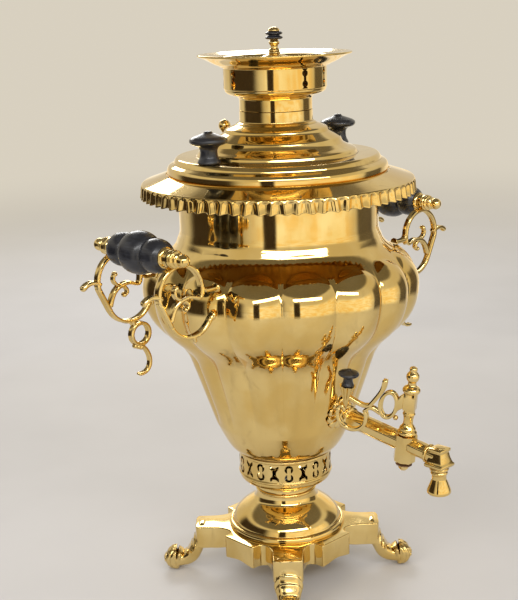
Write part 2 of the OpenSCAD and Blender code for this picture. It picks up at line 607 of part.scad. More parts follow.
// A turned black-wood knob, one unit high and one unit in radius
function mushroom(r, h) = concat([[r * 0.58, 0], [r * 0.6, h * 0.05], [r * 0.55, h * 0.12]],
    bez([r * 0.48, h * 0.2], [r * 0.4, h * 0.4], [r * 0.44, h * 0.5], [r * 0.62, h * 0.56], 6),
    bez([r * 0.82, h * 0.6], [r * 0.98, h * 0.63], [r * 1.03, h * 0.72], [r * 0.93, h * 0.78], 5),
    bez([r * 0.8, h * 0.83], [r * 0.5, h * 0.9], [r * 0.3, h * 0.93], [r * 0.24, h * 0.95], 4),
    [[r * 0.17, h], [0, h]]);
knob_screw_r = 1.8;
module lid_knob(s) color(black_wood) translate([s * lid_knob_out, 0, tread_z + seat_gap])
    difference() {
        turned(concat([[0, 0]], mushroom(lid_knob_r, lid_knob_h)));
        translate([0, 0, -1]) cylinder(r = knob_screw_r + seat_gap, h = lid_knob_h * 0.5 + 1);
    }
module lid_knob_left() lid_knob(-1);
module lid_knob_right() lid_knob(1);
module lid_knob_screws() color(steel) for (s = [-1, 1])
    translate([s * lid_knob_out, 0, tread_z - sheet * 1.1 - 0.3 - screw_head_h]) {
        cylinder(r = knob_screw_r * 2, h = screw_head_h);
        cylinder(r = knob_screw_r, h = screw_head_h + lid_knob_h * 0.4);
    }
vent_z = tread_z + 11.5;
vent_pin_r = 1.8;
vent_travel = 6;
module vent_seat() color(brass) translate([0, vent_out, 0]) difference() {
    turned([[0, tread_z - 4], [vent_hole_r, tread_z - 4], [vent_hole_r, vent_z - 4.4],
        [vent_hole_r + 1.6, vent_z - 3.8], [vent_hole_r + 1.6, vent_z - 2],
        [vent_hole_r, vent_z - 0.8], [vent_hole_r - 0.4, vent_z], [0, vent_z]]);
    translate([0, 0, tread_z - 5]) cylinder(r = vent_pin_r + run_gap, h = 30);
}
module vent_cap() color(brass_light) translate([0, vent_out, vent_z + lift_gap]) {
    turned(concat([[0, 0], [3, 0], [3.1, 1], [2.1, 2]],
        arc([0, 2 * vent_ball_r * 0.78], vent_ball_r, -50, 60, 8),
        [[1.6, vent_ball_r * 2.5], [0, vent_ball_r * 2.66]]));
    translate([0, 0, tread_z - 3 - vent_z]) cylinder(r = vent_pin_r, h = vent_z - tread_z + 4);
}

// ---- crown and chimney cap ----
crown_z = lid_top_z + lift_gap;
socket_h = 9.5;
gallery_z = crown_z + crown_h - gallery_h - 10.5;
dish_z = gallery_z + gallery_h;
dish_top_z = crown_z + crown_h;
socket_in = chimney_r + 0.5;
crown_under = concat([[collar_r - 0.3, crown_z], [collar_r - 0.3, crown_z + socket_h],
    [collar_r + 0.6, crown_z + socket_h + 1.4]],
    bez([collar_r + 2, gallery_z - 6.5], [gallery_r - 4, gallery_z - 5.4],
        [gallery_r - 0.6, gallery_z - 3.6], [gallery_r - 0.6, gallery_z - 0.8], 6),
    [[gallery_r, gallery_z], [gallery_r, dish_z - 1.2], [gallery_r + 0.8, dish_z - 0.4],
    [gallery_r + 2.6, dish_z]],
    bez([gallery_r + 4, dish_z + 1], [gallery_r + 10, dish_z + 2.8],
        [dish_r - 8, dish_z + 6.4], [dish_r, dish_top_z - 1.6], 6),
    [[dish_r + 0.3, dish_top_z - 0.7], [dish_r - 0.2, dish_top_z]]);
crown_over = [[dish_r - 1.4, dish_top_z - 0.1], [dish_r - 9, dish_top_z - 1.4],
    [gallery_r + 4, dish_top_z - 2.4], [gallery_r + 1, dish_top_z - 2.8],
    [gallery_r - 0.6, dish_top_z - 3.8], [gallery_r - sheet, dish_top_z - 5.4],
    [gallery_r - sheet, gallery_z], [gallery_r - 1.9, gallery_z - 2.4], [gallery_r - 5, gallery_z - 4.4],
    [collar_r + 2, gallery_z - 5], [socket_in + 0.6, gallery_z - 5.6], [socket_in, crown_z + socket_h],
    [socket_in, crown_z]];
gallery_first = 156;
pair_half = 17;
// Upright baluster-shaped opening
module baluster() {
    square([3.2, gallery_h * 0.86], center = true);
    for (s = [-1, 1]) {
        translate([0, s * gallery_h * 0.24]) circle(r = gallery_h * 0.16, $fn = 32);
        translate([0, s * gallery_h * 0.4]) square([gallery_h * 0.3, gallery_h * 0.08], center = true);
    }
}
module crown() color(brass_light) difference() {
    turned(concat(crown_under, crown_over));
    for (k = [0:gallery_pairs - 1]) for (s = [-1, 1])
        radial_cut(gallery_first + k * 360 / gallery_pairs + s * pair_half,
            gallery_z + gallery_h * 0.48, gallery_r) baluster();
}
cap_rim_z = chimney_z + lift_gap;
cap_rise = 8.6;
plug_in_r = chimney_r - tube_t - lift_gap;
cap_z = cap_rim_z + cap_rise;
cap_stud_r = 1.5;
module chimney_cap() color(brass) difference() {
    turned([[0, cap_z - sheet], [5, cap_z - sheet], [plug_in_r - sheet, cap_rim_z],
        [plug_in_r - sheet, cap_rim_z - 7], [plug_in_r, cap_rim_z - 7], [plug_in_r, cap_rim_z],
        [cap_r - 0.4, cap_rim_z], [cap_r, cap_rim_z + 0.5], [cap_r - 0.6, cap_rim_z + 1.2],
        [cap_r * 0.66, cap_rim_z + cap_rise * 0.36], [cap_r * 0.4, cap_rim_z + cap_rise * 0.68],
        [5, cap_z], [0, cap_z]]);
    translate([0, 0, cap_z - 5]) cylinder(r = cap_stud_r + seat_gap, h = 10);
}
stem_h = 11.6;
module cap_stem() color(brass) translate([0, 0, cap_z + seat_gap]) difference() {
    turned([[0, 0], [5, 0], [5.2, 0.8], [4.4, 1.8], [4.9, 2.6], [4.2, 3.6], [3.2, 4.4],
        [3, 6.4], [4, 7.6], [4.6, 8.8], [4.2, 10], [3.2, 10.6], [3.6, stem_h], [0, stem_h]]);
    translate([0, 0, -1]) cylinder(r = cap_stud_r + seat_gap, h = stem_h + 2);
}
cap_knob_h = 6.4;
cap_knob_z = cap_z + stem_h + 2 * seat_gap;
module cap_knob() color(black_wood) translate([0, 0, cap_knob_z]) difference() {
    turned([[0, 0], [cap_knob_r - 1.6, 0], [cap_knob_r, 0.9], [cap_knob_r, 1.7],
        [cap_knob_r - 1.6, 2.6], [cap_knob_r - 2.6, 2.9], [cap_knob_r - 2.6, 3.5],
        [cap_knob_r - 1.2, 3.8], [cap_knob_r - 0.2, 4.6], [cap_knob_r - 0.2, 5.3],
        [cap_knob_r - 1.8, cap_knob_h], [0, cap_knob_h]]);
    translate([0, 0, -1]) cylinder(r = cap_stud_r + seat_gap, h = cap_knob_h + 2);
}
module cap_tip() color(brass) {
    translate([0, 0, cap_knob_z + cap_knob_h + seat_gap])
        turned([[0, 0], [4.6, 0], [5, 0.7], [4.6, 1.5], [4, 2.3], [2.6, 3.2], [1, 3.6], [0, 3.7]]);
    translate([0, 0, cap_z - sheet - 3])
        cylinder(r = cap_stud_r, h = cap_knob_z + cap_knob_h - cap_z + sheet + 3.5);
    translate([0, 0, cap_z - sheet - 2.6]) cylinder(r = 3.4, h = 2.4, $fn = 6);
}

// ---- handles ----
grip_x = belly_r + grip_out;
grip_z = neck_z - grip_drop;
ferrule_t = 3;
bracket_y = grip_l / 2 + ferrule_t + boss_w / 2 + 2 * seat_gap;
boss_r = 7.5;
loop_c = [grip_x - 6.5, grip_z - 28];
loop_r = 21.5;
bowl_c = [grip_x - 16, grip_z - 42];
bowl_r = 23.2;
upper_pad_z = grip_z - 30.7;
lower_pad_z = grip_z - 52.5;
pad_half = 4;
upper_pad_x = patch_out(bracket_y, upper_pad_z, pad_half, pad_half) + seat_gap;
lower_pad_x = patch_out(bracket_y, lower_pad_z, pad_half, pad_half) + seat_gap;
module bracket_stud(s, y, z, r) translate([s * 60, y, z]) rotate([0, 90 * s, 0])
    cylinder(r = r, h = 80);

// Scrollwork of one bracket: x is the distance from the urn's axis, y the height
module bracket_scrolls(tail) {
    // upper loop, from the outer leaf over the top and down the inner side
    scroll(arc(loop_c, loop_r, -16, 195, 22), scroll_t, scroll_t);
    // sweep that joins the loop to the bowl
    scroll(concat([loop_c + loop_r * [cos(-14), sin(-14)]],
        [bowl_c + bowl_r * [cos(-28), sin(-28)]]), scroll_t * 1.1, scroll_t * 1.1);
    scroll(arc(bowl_c, bowl_r, -30, -146, 14), scroll_t, scroll_t);
    // inner S, which curls off the loop and runs back into the bowl
    scroll(concat(
        bez(loop_c + loop_r * [cos(192), sin(192)], loop_c + [-19.5, -10], loop_c + [-16, -5.6],
            loop_c + [-8, -4.6], 7),
        bez(loop_c + [-6, -4.8], loop_c + [2, -6], loop_c + [7, -8],
            loop_c + [10.5, -20.5], 8)), scroll_t * 0.9, scroll_t);
    // buds on the S
    scroll(bez(loop_c + [-1, -6], loop_c + [-8, -7.5], loop_c + [-9.5, -13.5],
        loop_c + [-4.5, -14], 6), scroll_t * 0.9, scroll_t * 0.55);
    scroll(bez(loop_c + [-2, -5.6], loop_c + [5, -5.5], loop_c + [8.5, 1.5],
        loop_c + [4, 4.6], 6), scroll_t * 0.9, scroll_t * 0.55);
    // outer leaf
    scroll(bez(loop_c + [loop_r - 2, -1], loop_c + [loop_r + 5, 3], loop_c + [loop_r + 10, 2],
        loop_c + [loop_r + 14.5, -2], 6), scroll_t, scroll_t * 1.3);
    // arms to the pads
    scroll(concat(bez(loop_c + loop_r * [cos(176), sin(176)], loop_c + [-23, -3],
        loop_c + [-27, -2.7], [loop_c.x - 30, upper_pad_z], 5),
        [[upper_pad_x + 1.2, upper_pad_z]]), scroll_t, scroll_t);
    scroll(concat([bowl_c + bowl_r * [cos(-146), sin(-146)]],
        [[lower_pad_x + 1.2, lower_pad_z]]), scroll_t, scroll_t);
    // stub or tail below the bowl
    scroll([bowl_c + [-1, -bowl_r], bowl_c + [-2.5, -bowl_r - 4]], scroll_t, scroll_t);
    if (tail) {
        difference() {
            translate(tail_c) circle(r = tail_r);
            translate(tail_c + [-0.6, 0.4]) circle(r = tail_r - scroll_t);
        }
        for (k = [0:2]) translate(tail_c + [6 - 3 * k, -tail_r + 1 - 1.2 * k]) circle(r = 2.1);
        scroll(bez(tail_c + [0, -tail_r + 0.6], tail_c + [-12, -tail_r - 8],
            tail_c + [-12, -tail_r - 26], tail_c + [3.5, -tail_r - 24], 12), scroll_t, scroll_t * 0.8);
    }
}
tail_r = 10.6;
tail_c = bowl_c + [-9, -bowl_r - tail_r - 2.4];
module bracket(s, y, tail) color(brass) mirror([s < 0 ? 1 : 0, 0, 0]) {
    translate([0, y * bracket_y, 0]) {
        difference() {
            union() {
                translate([0, band_w / 2, 0]) rotate([90, 0, 0]) linear_extrude(band_w)
                    bracket_scrolls(tail);
                translate([grip_x, boss_w / 2, grip_z]) rotate([90, 0, 0])
                    cylinder(r = boss_r, h = boss_w);
                // pads and studs
                translate([upper_pad_x, 0, upper_pad_z]) rotate([0, 90, 0]) cylinder(r = pad_half, h = 2.2);
                translate([lower_pad_x, 0, lower_pad_z]) rotate([0, 90, 0]) cylinder(r = pad_half, h = 2.2);
                translate([stud_end(upper_pad_z), 0, upper_pad_z]) rotate([0, 90, 0])
                    cylinder(r = stud_r, h = upper_pad_x + 1 - stud_end(upper_pad_z));
                translate([stud_end(lower_pad_z), 0, lower_pad_z]) rotate([0, 90, 0])
                    cylinder(r = stud_r, h = lower_pad_x + 1 - stud_end(lower_pad_z));
            }
            translate([grip_x, boss_w, grip_z]) rotate([90, 0, 0])
                cylinder(r = rod_r + seat_gap, h = 2 * boss_w);
        }
    }
}
nut_t = 3.2;
function nut_x(z) = patch_in(bracket_y, z, stud_r * 2) - lift_gap;
function stud_end(z) = nut_x(z) - nut_t - 2;
module bracket_left_front() bracket(-1, -1, false);
module bracket_left_back() bracket(-1, 1, true);
module bracket_right_front() bracket(1, -1, true);
module bracket_right_back() bracket(1, 1, true);
module bracket_nuts() color(brass) for (s = [0, 1]) mirror([s, 0, 0]) for (y = stud_ys)
    for (z = [upper_pad_z, lower_pad_z]) translate([nut_x(z) - nut_t, y * bracket_y, z])
        rotate([0, 90, 0]) hex_nut(stud_r * 3.4, stud_r + seat_gap, nut_t);

// Grips, rods, ferrules and end nuts lie along Y at the grip's axis
module at_grip(s) translate([s * grip_x, 0, grip_z]) rotate([90, 0, 0]) children();
grip_half = concat(bez([grip_r, 0], [grip_r, grip_l * 0.1], [grip_r * 0.9, grip_l * 0.165],
    [grip_r * 0.66, grip_l * 0.205], 6),
    bez([grip_r * 0.66, grip_l * 0.215], [grip_r * 0.84, grip_l * 0.25], [grip_r * 0.84, grip_l * 0.43],
        [grip_r * 0.6, grip_l * 0.475], 8), [[grip_r * 0.5, grip_l * 0.5]]);
module grip(s) color(black_wood) at_grip(s) difference() {
    turned(concat([[0, -grip_l / 2]], [for (i = [len(grip_half) - 1:-1:1]) [grip_half[i].x, -grip_half[i].y]],
        grip_half, [[0, grip_l / 2]]));
    translate([0, 0, -grip_l]) cylinder(r = rod_r + seat_gap, h = 2 * grip_l);
}
module grip_left() grip(-1);
module grip_right() grip(1);
module grip_ferrules() color(brass) for (s = [-1, 1]) for (e = [0, 1]) at_grip(s) mirror([0, 0, e])
    translate([0, 0, grip_l / 2 + seat_gap]) difference() {
        turned([[0, 0], [8.4, 0], [8.6, 1], [7.6, ferrule_t - 0.6], [6.6, ferrule_t], [0, ferrule_t]]);
        translate([0, 0, -1]) cylinder(r = rod_r + seat_gap, h = ferrule_t + 2);
    }
boss_end = bracket_y + boss_w / 2;
nut_h = 14.5;
module grip_rod(s) color(steel) at_grip(s) translate([0, 0, -boss_end - nut_h * 0.6])
    cylinder(r = rod_r, h = 2 * boss_end + nut_h * 1.2);
module grip_rod_left() grip_rod(-1);
module grip_rod_right() grip_rod(1);
module grip_nuts() color(brass_light) for (s = [-1, 1]) for (e = [0, 1]) at_grip(s) mirror([0, 0, e])
    translate([0, 0, boss_end + seat_gap]) difference() {
        turned(concat([[0, 0], [6.8, 0], [7.2, 0.8], [6.6, 1.9], [4.6, 2.6], [4.3, 3.4], [5.6, 4.4],
            [5.6, 5.2], [4.2, 6]], arc([0, nut_h - 5.2], 5.2, -38, 78, 8), [[0, nut_h]]));
        translate([0, 0, -1]) cylinder(r = rod_r + seat_gap, h = nut_h * 0.6 + 1.1);
    }

// ---- tap ----
// The tap's frame: origin where the key's axis meets the tube's axis, z along
// the key, y back along the tube to the body
root_out = skin(tap_root_z, -90);
key_y = -(root_out + tap_reach * cos(tap_tilt));
key_z = tap_root_z - tap_reach * sin(tap_tilt);
module tap_frame() translate([0, key_y, key_z]) rotate([tap_tilt, 0, 0]) children();

// The petalled plate lies on the body's slope
slope = atan((skin(tap_root_z + 6, -90) - skin(tap_root_z - 6, -90)) / 12);
function over_plate(dx, dz) = let (z = tap_root_z + dz, a = asin(dx / crown_at(z)), s = skin(z, -90 + a))
    (s * cos(a) - root_out) * cos(slope) - dz * sin(slope);
plate_lift = max([for (i = [-1:0.2:1]) for (j = [-1:0.2:1]) if (i * i + j * j <= 1.01)
    over_plate(i * rosette_r, j * rosette_r)]) + seat_gap;
module rosette_frame() translate([0, -root_out, tap_root_z]) rotate([90 + slope, 0, 0])
    translate([0, 0, plate_lift]) children();
rosette_t = 3;
petal_r = rosette_r * PI / petals * 0.62;
module tap_rosette() color(brass) difference() {
    rosette_frame() difference() {
        union() {
            cylinder(r = rosette_r - petal_r, h = rosette_t);
            for (k = [0:petals - 1]) rotate([0, 0, k * 360 / petals])
                translate([rosette_r - petal_r, 0, 0]) {
                    difference() {
                        sphere(r = petal_r, $fn = 32);
                        translate([0, 0, -petal_r]) cylinder(r = 2 * petal_r, h = petal_r);
                    }
                }
        }
    }
    tap_frame() rotate([-90, 0, 0]) cylinder(r = shank_r + 0.3, h = tap_reach + 15);
}
root_s = tap_reach - plate_lift - rosette_t - 4.5;
barrel_low = -barrel_h * 0.68;
barrel_high = barrel_h * 0.32;
plug_slope = 0.05;
function plug_at(h) = plug_r + plug_slope * h;
shank_end = tap_reach + 13;
head_w = 8.8;
head_z = key_z - spout_out * tan(tap_tilt);
head_y = key_y - spout_out;
spout_z = head_z - 7.5;
module tap_body() color(brass_light) difference() {
    union() {
        tap_frame() {
            translate([0, -4, 0]) rotate([-90, 0, 0]) octagon_bar(tube_w, root_s + 1);
            // collar rings and shank at the root
            translate([0, root_s - 4, 0]) rotate([-90, 0, 0]) turned([[0, 0], [8, 0], [9.6, 1],
                [9.6, 2.4], [8.4, 3.2], [8.4, 3.8], [10.4, 4.6], [10.4, 6.2], [shank_r, 6.8], [0, 6.8]]);
            translate([0, root_s, 0]) rotate([-90, 0, 0])
                cylinder(r = shank_r, h = shank_end - root_s);
            translate([0, 0, barrel_low]) octagon_bar(barrel_w, barrel_h);
            rotate([90, 0, 0]) octagon_bar(tube_w * 0.86, spout_out);
        }
        // square head over the spout
        translate([0, head_y, spout_z]) square_turned(concat([[head_w - 1.4, 0],
            [head_w, 1.4], [head_w, 3.4]], bez([head_w - 1, 4.4], [head_w - 2.6, 8],
            [6.2, 10], [5.4, 13.4], 6), [[6.6, 14], [6.6, 16.4], [4, 17.4]]));
    }
    tap_frame() {
        // tapered seat for the plug
        turned([[0, barrel_low - 1], [plug_at(barrel_low - 1) + run_gap, barrel_low - 1],
            [plug_at(barrel_high + 1) + run_gap, barrel_high + 1], [0, barrel_high + 1]]);
        translate([0, -spout_out, 0]) rotate([-90, 0, 0])
            cylinder(r = way_r, h = spout_out + shank_end + 1);
    }
    translate([0, head_y, spout_z - 1]) cylinder(r = outlet_r, h = head_z - spout_z + 2);
    translate([0, head_y, spout_z - 1]) cylinder(r = nozzle_r + seat_gap, h = 4 + 1);
}
nozzle_r = 5;
mouth_z = spout_z - 22.5;
module tap_spout() color(brass_light) translate([0, head_y, 0]) difference() {
    turned([[0, spout_z + 3.8], [nozzle_r, spout_z + 3.8], [nozzle_r, spout_z - seat_gap],
        [7.6, spout_z - seat_gap], [8, spout_z - 1.2], [7.4, spout_z - 2.4], [6.2, spout_z - 3],
        [7, spout_z - 4], [7, spout_z - 5.2], [6, spout_z - 6.4], [5.9, spout_z - 10],
        [6.6, spout_z - 11.4], [mouth_r * 0.82, mouth_z + 7.6], [mouth_r * 0.95, mouth_z + 4.4],
        [mouth_r, mouth_z + 2.6], [mouth_r, mouth_z + 1.2], [mouth_r - 1, mouth_z],
        [mouth_r - 2.2, mouth_z], [outlet_r, mouth_z + 6], [0, mouth_z + 6]]);
    translate([0, 0, mouth_z - 1]) cylinder(r = outlet_r, h = 40);
}
nut_lift = 5.2;
washer_s = tap_reach + nut_lift;
module tap_washer() color(fibre) tap_frame() translate([0, washer_s, 0]) rotate([-90, 0, 0])
    tube(shank_r + 4, shank_r + seat_gap, 2);
module tap_nut() color(brass) tap_frame() translate([0, washer_s + 2 + seat_gap, 0])
    rotate([-90, 0, 0]) hex_nut(shank_r * 3, shank_r + seat_gap, 4.5);

// ---- key, lever and its knob, in the tap's frame ----
key_foot = barrel_low - 0.8;
block_z0 = barrel_high + 22;
block_z1 = block_z0 + 15.5;
module tap_key() color(brass_light) tap_frame() difference() {
    union() {
        turned([[0, key_foot], [plug_at(key_foot), key_foot],
            [plug_at(barrel_high + 0.3), barrel_high + 0.3], [7, barrel_high + lift_gap],
            [8, barrel_high + 1.4], [8.1, barrel_high + 3], [6.6, barrel_high + 4.4],
            [6.8, barrel_high + 6], [5.2, barrel_high + 8], [4.1, barrel_high + 10],
            [3.9, barrel_high + 14], [4.6, barrel_high + 17], [5.4, barrel_high + 18.6],
            [4.6, barrel_high + 20], [4.6, block_z0 + 1], [0, block_z0 + 1]]);
        rotate([0, 0, lever_turn]) translate([-key_block / 2, -key_block / 2, block_z0])
            cube([key_block, key_block, block_z1 - block_z0]);
        turned([[0, block_z1 - 1], [5.6, block_z1 - 1], [6.6, block_z1], [7.3, block_z1 + 1.4],
            [7.2, block_z1 + 3], [6, block_z1 + 4.6], [4.4, block_z1 + 5.4], [3.3, block_z1 + 6.6],
            [3.4, key_h - 13], [4.8, key_h - 11], [5.4, key_h - 8.6], [5, key_h - 6.4],
            [3.6, key_h - 4.6], [2.9, key_h - 3.8], [3.3, key_h - 2.6], [3.1, key_h - 0.8],
            [2, key_h], [0, key_h]]);
    }
    // water way through the plug, across the tube when the tap is shut
    rotate([0, 90, 0]) translate([0, 0, -10]) cylinder(r = way_r, h = 20);
    translate([0, 0, key_foot - 1]) cylinder(r = 1.5 + seat_gap, h = 7);
}
module key_washer() color(fibre) tap_frame() translate([0, 0, key_foot - seat_gap - 1])
    tube(plug_r + 1.4, 1.5 + seat_gap, 1);
module key_retainer() color(brass) tap_frame() {
    translate([0, 0, key_foot - 2 * seat_gap - 1 - 5])
        turned([[0, 0], [2.6, 0], [4, 1.6], [4.6, 3.4], [4.6, 5], [0, 5]]);
    translate([0, 0, key_foot - 3]) cylinder(r = 1.5, h = 8);
}

// Lever outline: x along the lever from the key's axis, y up the key
ring_c = [17.6, block_z0 + 0.4];
volute_c = [lever_reach - 6.2, 14];
volute_r = 12.4;
function oval(a, b, n) = [for (i = [0:n - 1]) [a * cos(360 * i / n), b * sin(360 * i / n)]];
module lever_outline() {
    // bar into the key's block
    polygon([[key_block / 2 + seat_gap, block_z0 + 1], [key_block / 2 + seat_gap, block_z1 - 1.2],
        [9.4, ring_c.y + 9.4], [11, ring_c.y], [9.4, ring_c.y - 3]]);
    // upright oval ring
    difference() {
        translate(ring_c) rotate(9) polygon(oval(8.3, 12.8, 32));
        translate(ring_c) rotate(9) polygon(oval(8.3 - lever_t, 12.8 - lever_t, 32));
    }
    // long sweep: upturned tip, down past the ring and into the volute
    scroll(bez([22.4, ring_c.y + 20.6], [22.4, ring_c.y + 12], [25.6, ring_c.y + 8],
        [volute_c.x - 14.4, volute_c.y + 12], 12), lever_t * 1.4, lever_t * 1.15);
    scroll(bez([volute_c.x - 15.4, volute_c.y + 13], [volute_c.x - 9, volute_c.y + 8.6],
        [volute_c.x - 3, volute_c.y + 13], [lever_reach, volute_c.y + 16], 8), lever_t, lever_t);
    scroll(bez(ring_c + [6.4, -8.6], ring_c + [12, -6.4], [volute_c.x - 15, volute_c.y + 13],
        [volute_c.x - 11, volute_c.y + 7], 6), lever_t, lever_t);
    // open volute, which ends in a curl
    scroll(arc(volute_c, volute_r, 148, 375, 22), lever_t, lever_t);
    scroll(arc(volute_c + [volute_r - 2.6, 3.4], 2.8, 0, 190, 8), lever_t, lever_t * 0.7);
    // bead under the ring
    translate(ring_c + [-6.8, -10]) circle(r = 2.2, $fn = 24);
}
cup_z = volute_c.y + 10;
knob_z = cup_z + 15.4;
module lever_frame() tap_frame() rotate([0, 0, lever_turn]) children();
module tap_lever() color(brass) lever_frame() {
    difference() {
        union() {
            rotate([90, 0, 90]) translate([0, 0, -lever_w / 2]) linear_extrude(lever_w) lever_outline();
            // leaf cup that carries the knob
            translate([0, lever_reach, cup_z]) {
                turned([[0, -5], [1.6, -4], [2.6, 0], [3.4, 5], [5.4, 12], [6.4, 15.2], [0, 15.2]]);
                for (k = [0:7]) rotate([0, 0, k * 45]) translate([2.4, 0, 0]) rotate([0, 14, 0])
                    cylinder(r1 = 0.9, r2 = 1.9, h = 15, $fn = 16);
            }
        }
        translate([0, lever_reach, cup_z + 4]) cylinder(r = 1.25 + seat_gap, h = 20);
        translate([0, lever_reach, cup_z + 15.2]) cylinder(r = 12, h = 6);
    }
}
lever_knob_h = 14.8;
module lever_knob() color(black_wood) lever_frame() translate([0, lever_reach, cup_z + 15.2 + seat_gap])
    difference() {
        turned(concat([[0, 0]], mushroom(lever_knob_r, lever_knob_h)));
        translate([0, 0, -1]) cylinder(r = 1.25 + seat_gap, h = lever_knob_h * 0.6 + 1);
    }
module lever_knob_screw() color(steel) lever_frame() translate([0, lever_reach, cup_z + 4 + seat_gap])
    cylinder(r = 1.25, h = 11.2 + lever_knob_h * 0.5);

foot_front_left();
foot_front_right();
foot_back_left();
foot_back_right();
foot_screws();
base_plate();
pedestal();
tie_bolt();
tie_nut();
blower();
grate();
fire_tube();
body_shell();
pleated_ring();
lid();
lid_knob_left();
lid_knob_right();
lid_knob_screws();
vent_seat();
vent_cap();
crown();
chimney_cap();
cap_stem();
cap_knob();
cap_tip();
bracket_left_front();
bracket_left_back();
bracket_right_front();
bracket_right_back();
bracket_nuts();
grip_left();
grip_right();
grip_ferrules();
grip_rod_left();
grip_rod_right();
grip_nuts();
tap_rosette();
tap_body();
tap_washer();
tap_nut();
tap_spout();
tap_key();
key_washer();
key_retainer();
tap_lever();
lever_knob();
lever_knob_screw();
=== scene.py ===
"""Looks of a charcoal samovar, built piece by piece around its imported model.

Shapes are worked in millimetres and handed over in metres. Heights and outer
sizes come from the frame's own boxes, so that each piece stays on its seat.
"""

import json
import logging
import math
from dataclasses import dataclass, field
from enum import Enum
from typing import Callable, Iterable, Optional

import bmesh
import bpy
from mathutils import Matrix, Vector


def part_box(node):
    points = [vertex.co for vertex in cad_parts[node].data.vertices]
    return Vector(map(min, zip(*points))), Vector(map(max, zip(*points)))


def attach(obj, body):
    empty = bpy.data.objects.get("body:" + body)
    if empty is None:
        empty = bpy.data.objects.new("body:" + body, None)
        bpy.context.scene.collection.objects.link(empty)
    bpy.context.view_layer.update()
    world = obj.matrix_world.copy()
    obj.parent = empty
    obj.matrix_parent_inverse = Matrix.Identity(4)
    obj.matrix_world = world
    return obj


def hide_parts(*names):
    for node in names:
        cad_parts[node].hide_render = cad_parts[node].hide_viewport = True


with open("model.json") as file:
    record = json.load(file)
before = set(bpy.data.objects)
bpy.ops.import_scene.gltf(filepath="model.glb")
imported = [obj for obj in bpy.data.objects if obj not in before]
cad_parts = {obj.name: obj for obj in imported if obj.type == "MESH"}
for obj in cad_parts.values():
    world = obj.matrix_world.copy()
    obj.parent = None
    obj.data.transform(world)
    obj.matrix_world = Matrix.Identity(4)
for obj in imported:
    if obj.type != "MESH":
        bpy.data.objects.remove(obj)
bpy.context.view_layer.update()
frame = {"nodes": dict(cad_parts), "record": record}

LOG = logging.getLogger("samovar")
MM = 0.001
FULL_TURN = 2 * math.pi
UP = Vector((0, 0, 1))
ACROSS = Vector((0, 1, 0))
LYING = Matrix.Rotation(math.pi / 2, 4, "X")
MERGE = 1e-4
STRAIGHT = math.radians(9)
DISC_SIDES = 12
CUTTER_REACH = 4

Point = tuple[float, float]
Profile = list[Point]
Mesh = bmesh.types.BMesh


class Body(Enum):
    """The moving bodies of the model."""

    URN = "urn"
    LID = "lid"
    VENT = "vent_cap"
    CROWN = "crown"
    CAP = "chimney_cap"
    KEY = "tap_key"


class Side(Enum):
    """The two sides that carry a handle."""

    LEFT = -1
    RIGHT = 1


def span(node: str) -> tuple[Vector, Vector]:
    """Gives a node's lowest and highest corner.

    Args:
        node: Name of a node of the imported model.

    Returns:
        The two corners in millimetres.
    """
    low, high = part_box(node)
    return low / MM, high / MM


# ---------------------------------------------------------------- lines


def curve(a: Point, b: Point, c: Point, d: Point, steps: int) -> Profile:
    """Points of a cubic curve.

    Args:
        a: Start.
        b: First handle.
        c: Second handle.
        d: End.
        steps: Number of stretches.

    Returns:
        The points, both ends included.
    """
    points = []
    for i in range(steps + 1):
        t = i / steps
        u = 1 - t
        weights = (u * u * u, 3 * u * u * t, 3 * u * t * t, t * t * t)
        points.append(tuple(sum(w * p[k] for w, p in zip(weights, (a, b, c, d))) for k in (0, 1)))
    return points


def arc(centre: Point, radius: float, start: float, end: float, steps: int) -> Profile:
    """Points of a circle's arc.

    Args:
        centre: Centre of the circle.
        radius: Radius of the circle.
        start: First angle in degrees.
        end: Last angle in degrees.
        steps: Number of stretches.

    Returns:
        The points, both ends included.
    """
    angles = (math.radians(start + (end - start) * i / steps) for i in range(steps + 1))
    return [(centre[0] + radius * math.cos(a), centre[1] + radius * math.sin(a)) for a in angles]


def eased(line: Profile, radius: float, steps: int = 4, closed: bool = False) -> Profile:
    """Rounds the corners of a line, as polishing does.

    Args:
        line: The line with sharp corners.
        radius: Longest cut at a corner.
        steps: Number of stretches round a corner.
        closed: Whether the line's end meets its start.

    Returns:
        The rounded line.
    """
    points = [Vector(p) for p in line]
    count = len(points)
    out: Profile = []
    for i, corner in enumerate(points):
        if not closed and i in (0, count - 1):
            out.append(tuple(corner))
            continue
        back = points[i - 1] - corner
        ahead = points[(i + 1) % count] - corner
        if min(back.length, ahead.length) < 1e-6 or math.pi - back.angle(ahead) < STRAIGHT:
            out.append(tuple(corner))
            continue
        cut = min(radius, 0.45 * back.length, 0.45 * ahead.length)
        first, last = corner + back.normalized() * cut, corner + ahead.normalized() * cut
        for k in range(steps + 1):
            t = k / steps
            out.append(tuple(first * (1 - t) ** 2 + corner * 2 * t * (1 - t) + last * t * t))
    return out


def ramp(x: float) -> float:
    """A smooth step from 0 to 1."""
    t = min(1.0, max(0.0, x))
    return t * t * (3 - 2 * t)


def between(x: float, table: list[Point]) -> float:
    """Looks a value up between the rows of a short table.

    Args:
        x: Where to look.
        table: Rows of place and value, in rising order.

    Returns:
        The value, which stays level past both ends.
    """
    if x <= table[0][0]:
        return table[0][1]
    for (x0, y0), (x1, y1) in zip(table, table[1:]):
        if x <= x1:
            return y0 + (y1 - y0) * (x - x0) / max(1e-9, x1 - x0)
    return table[-1][1]


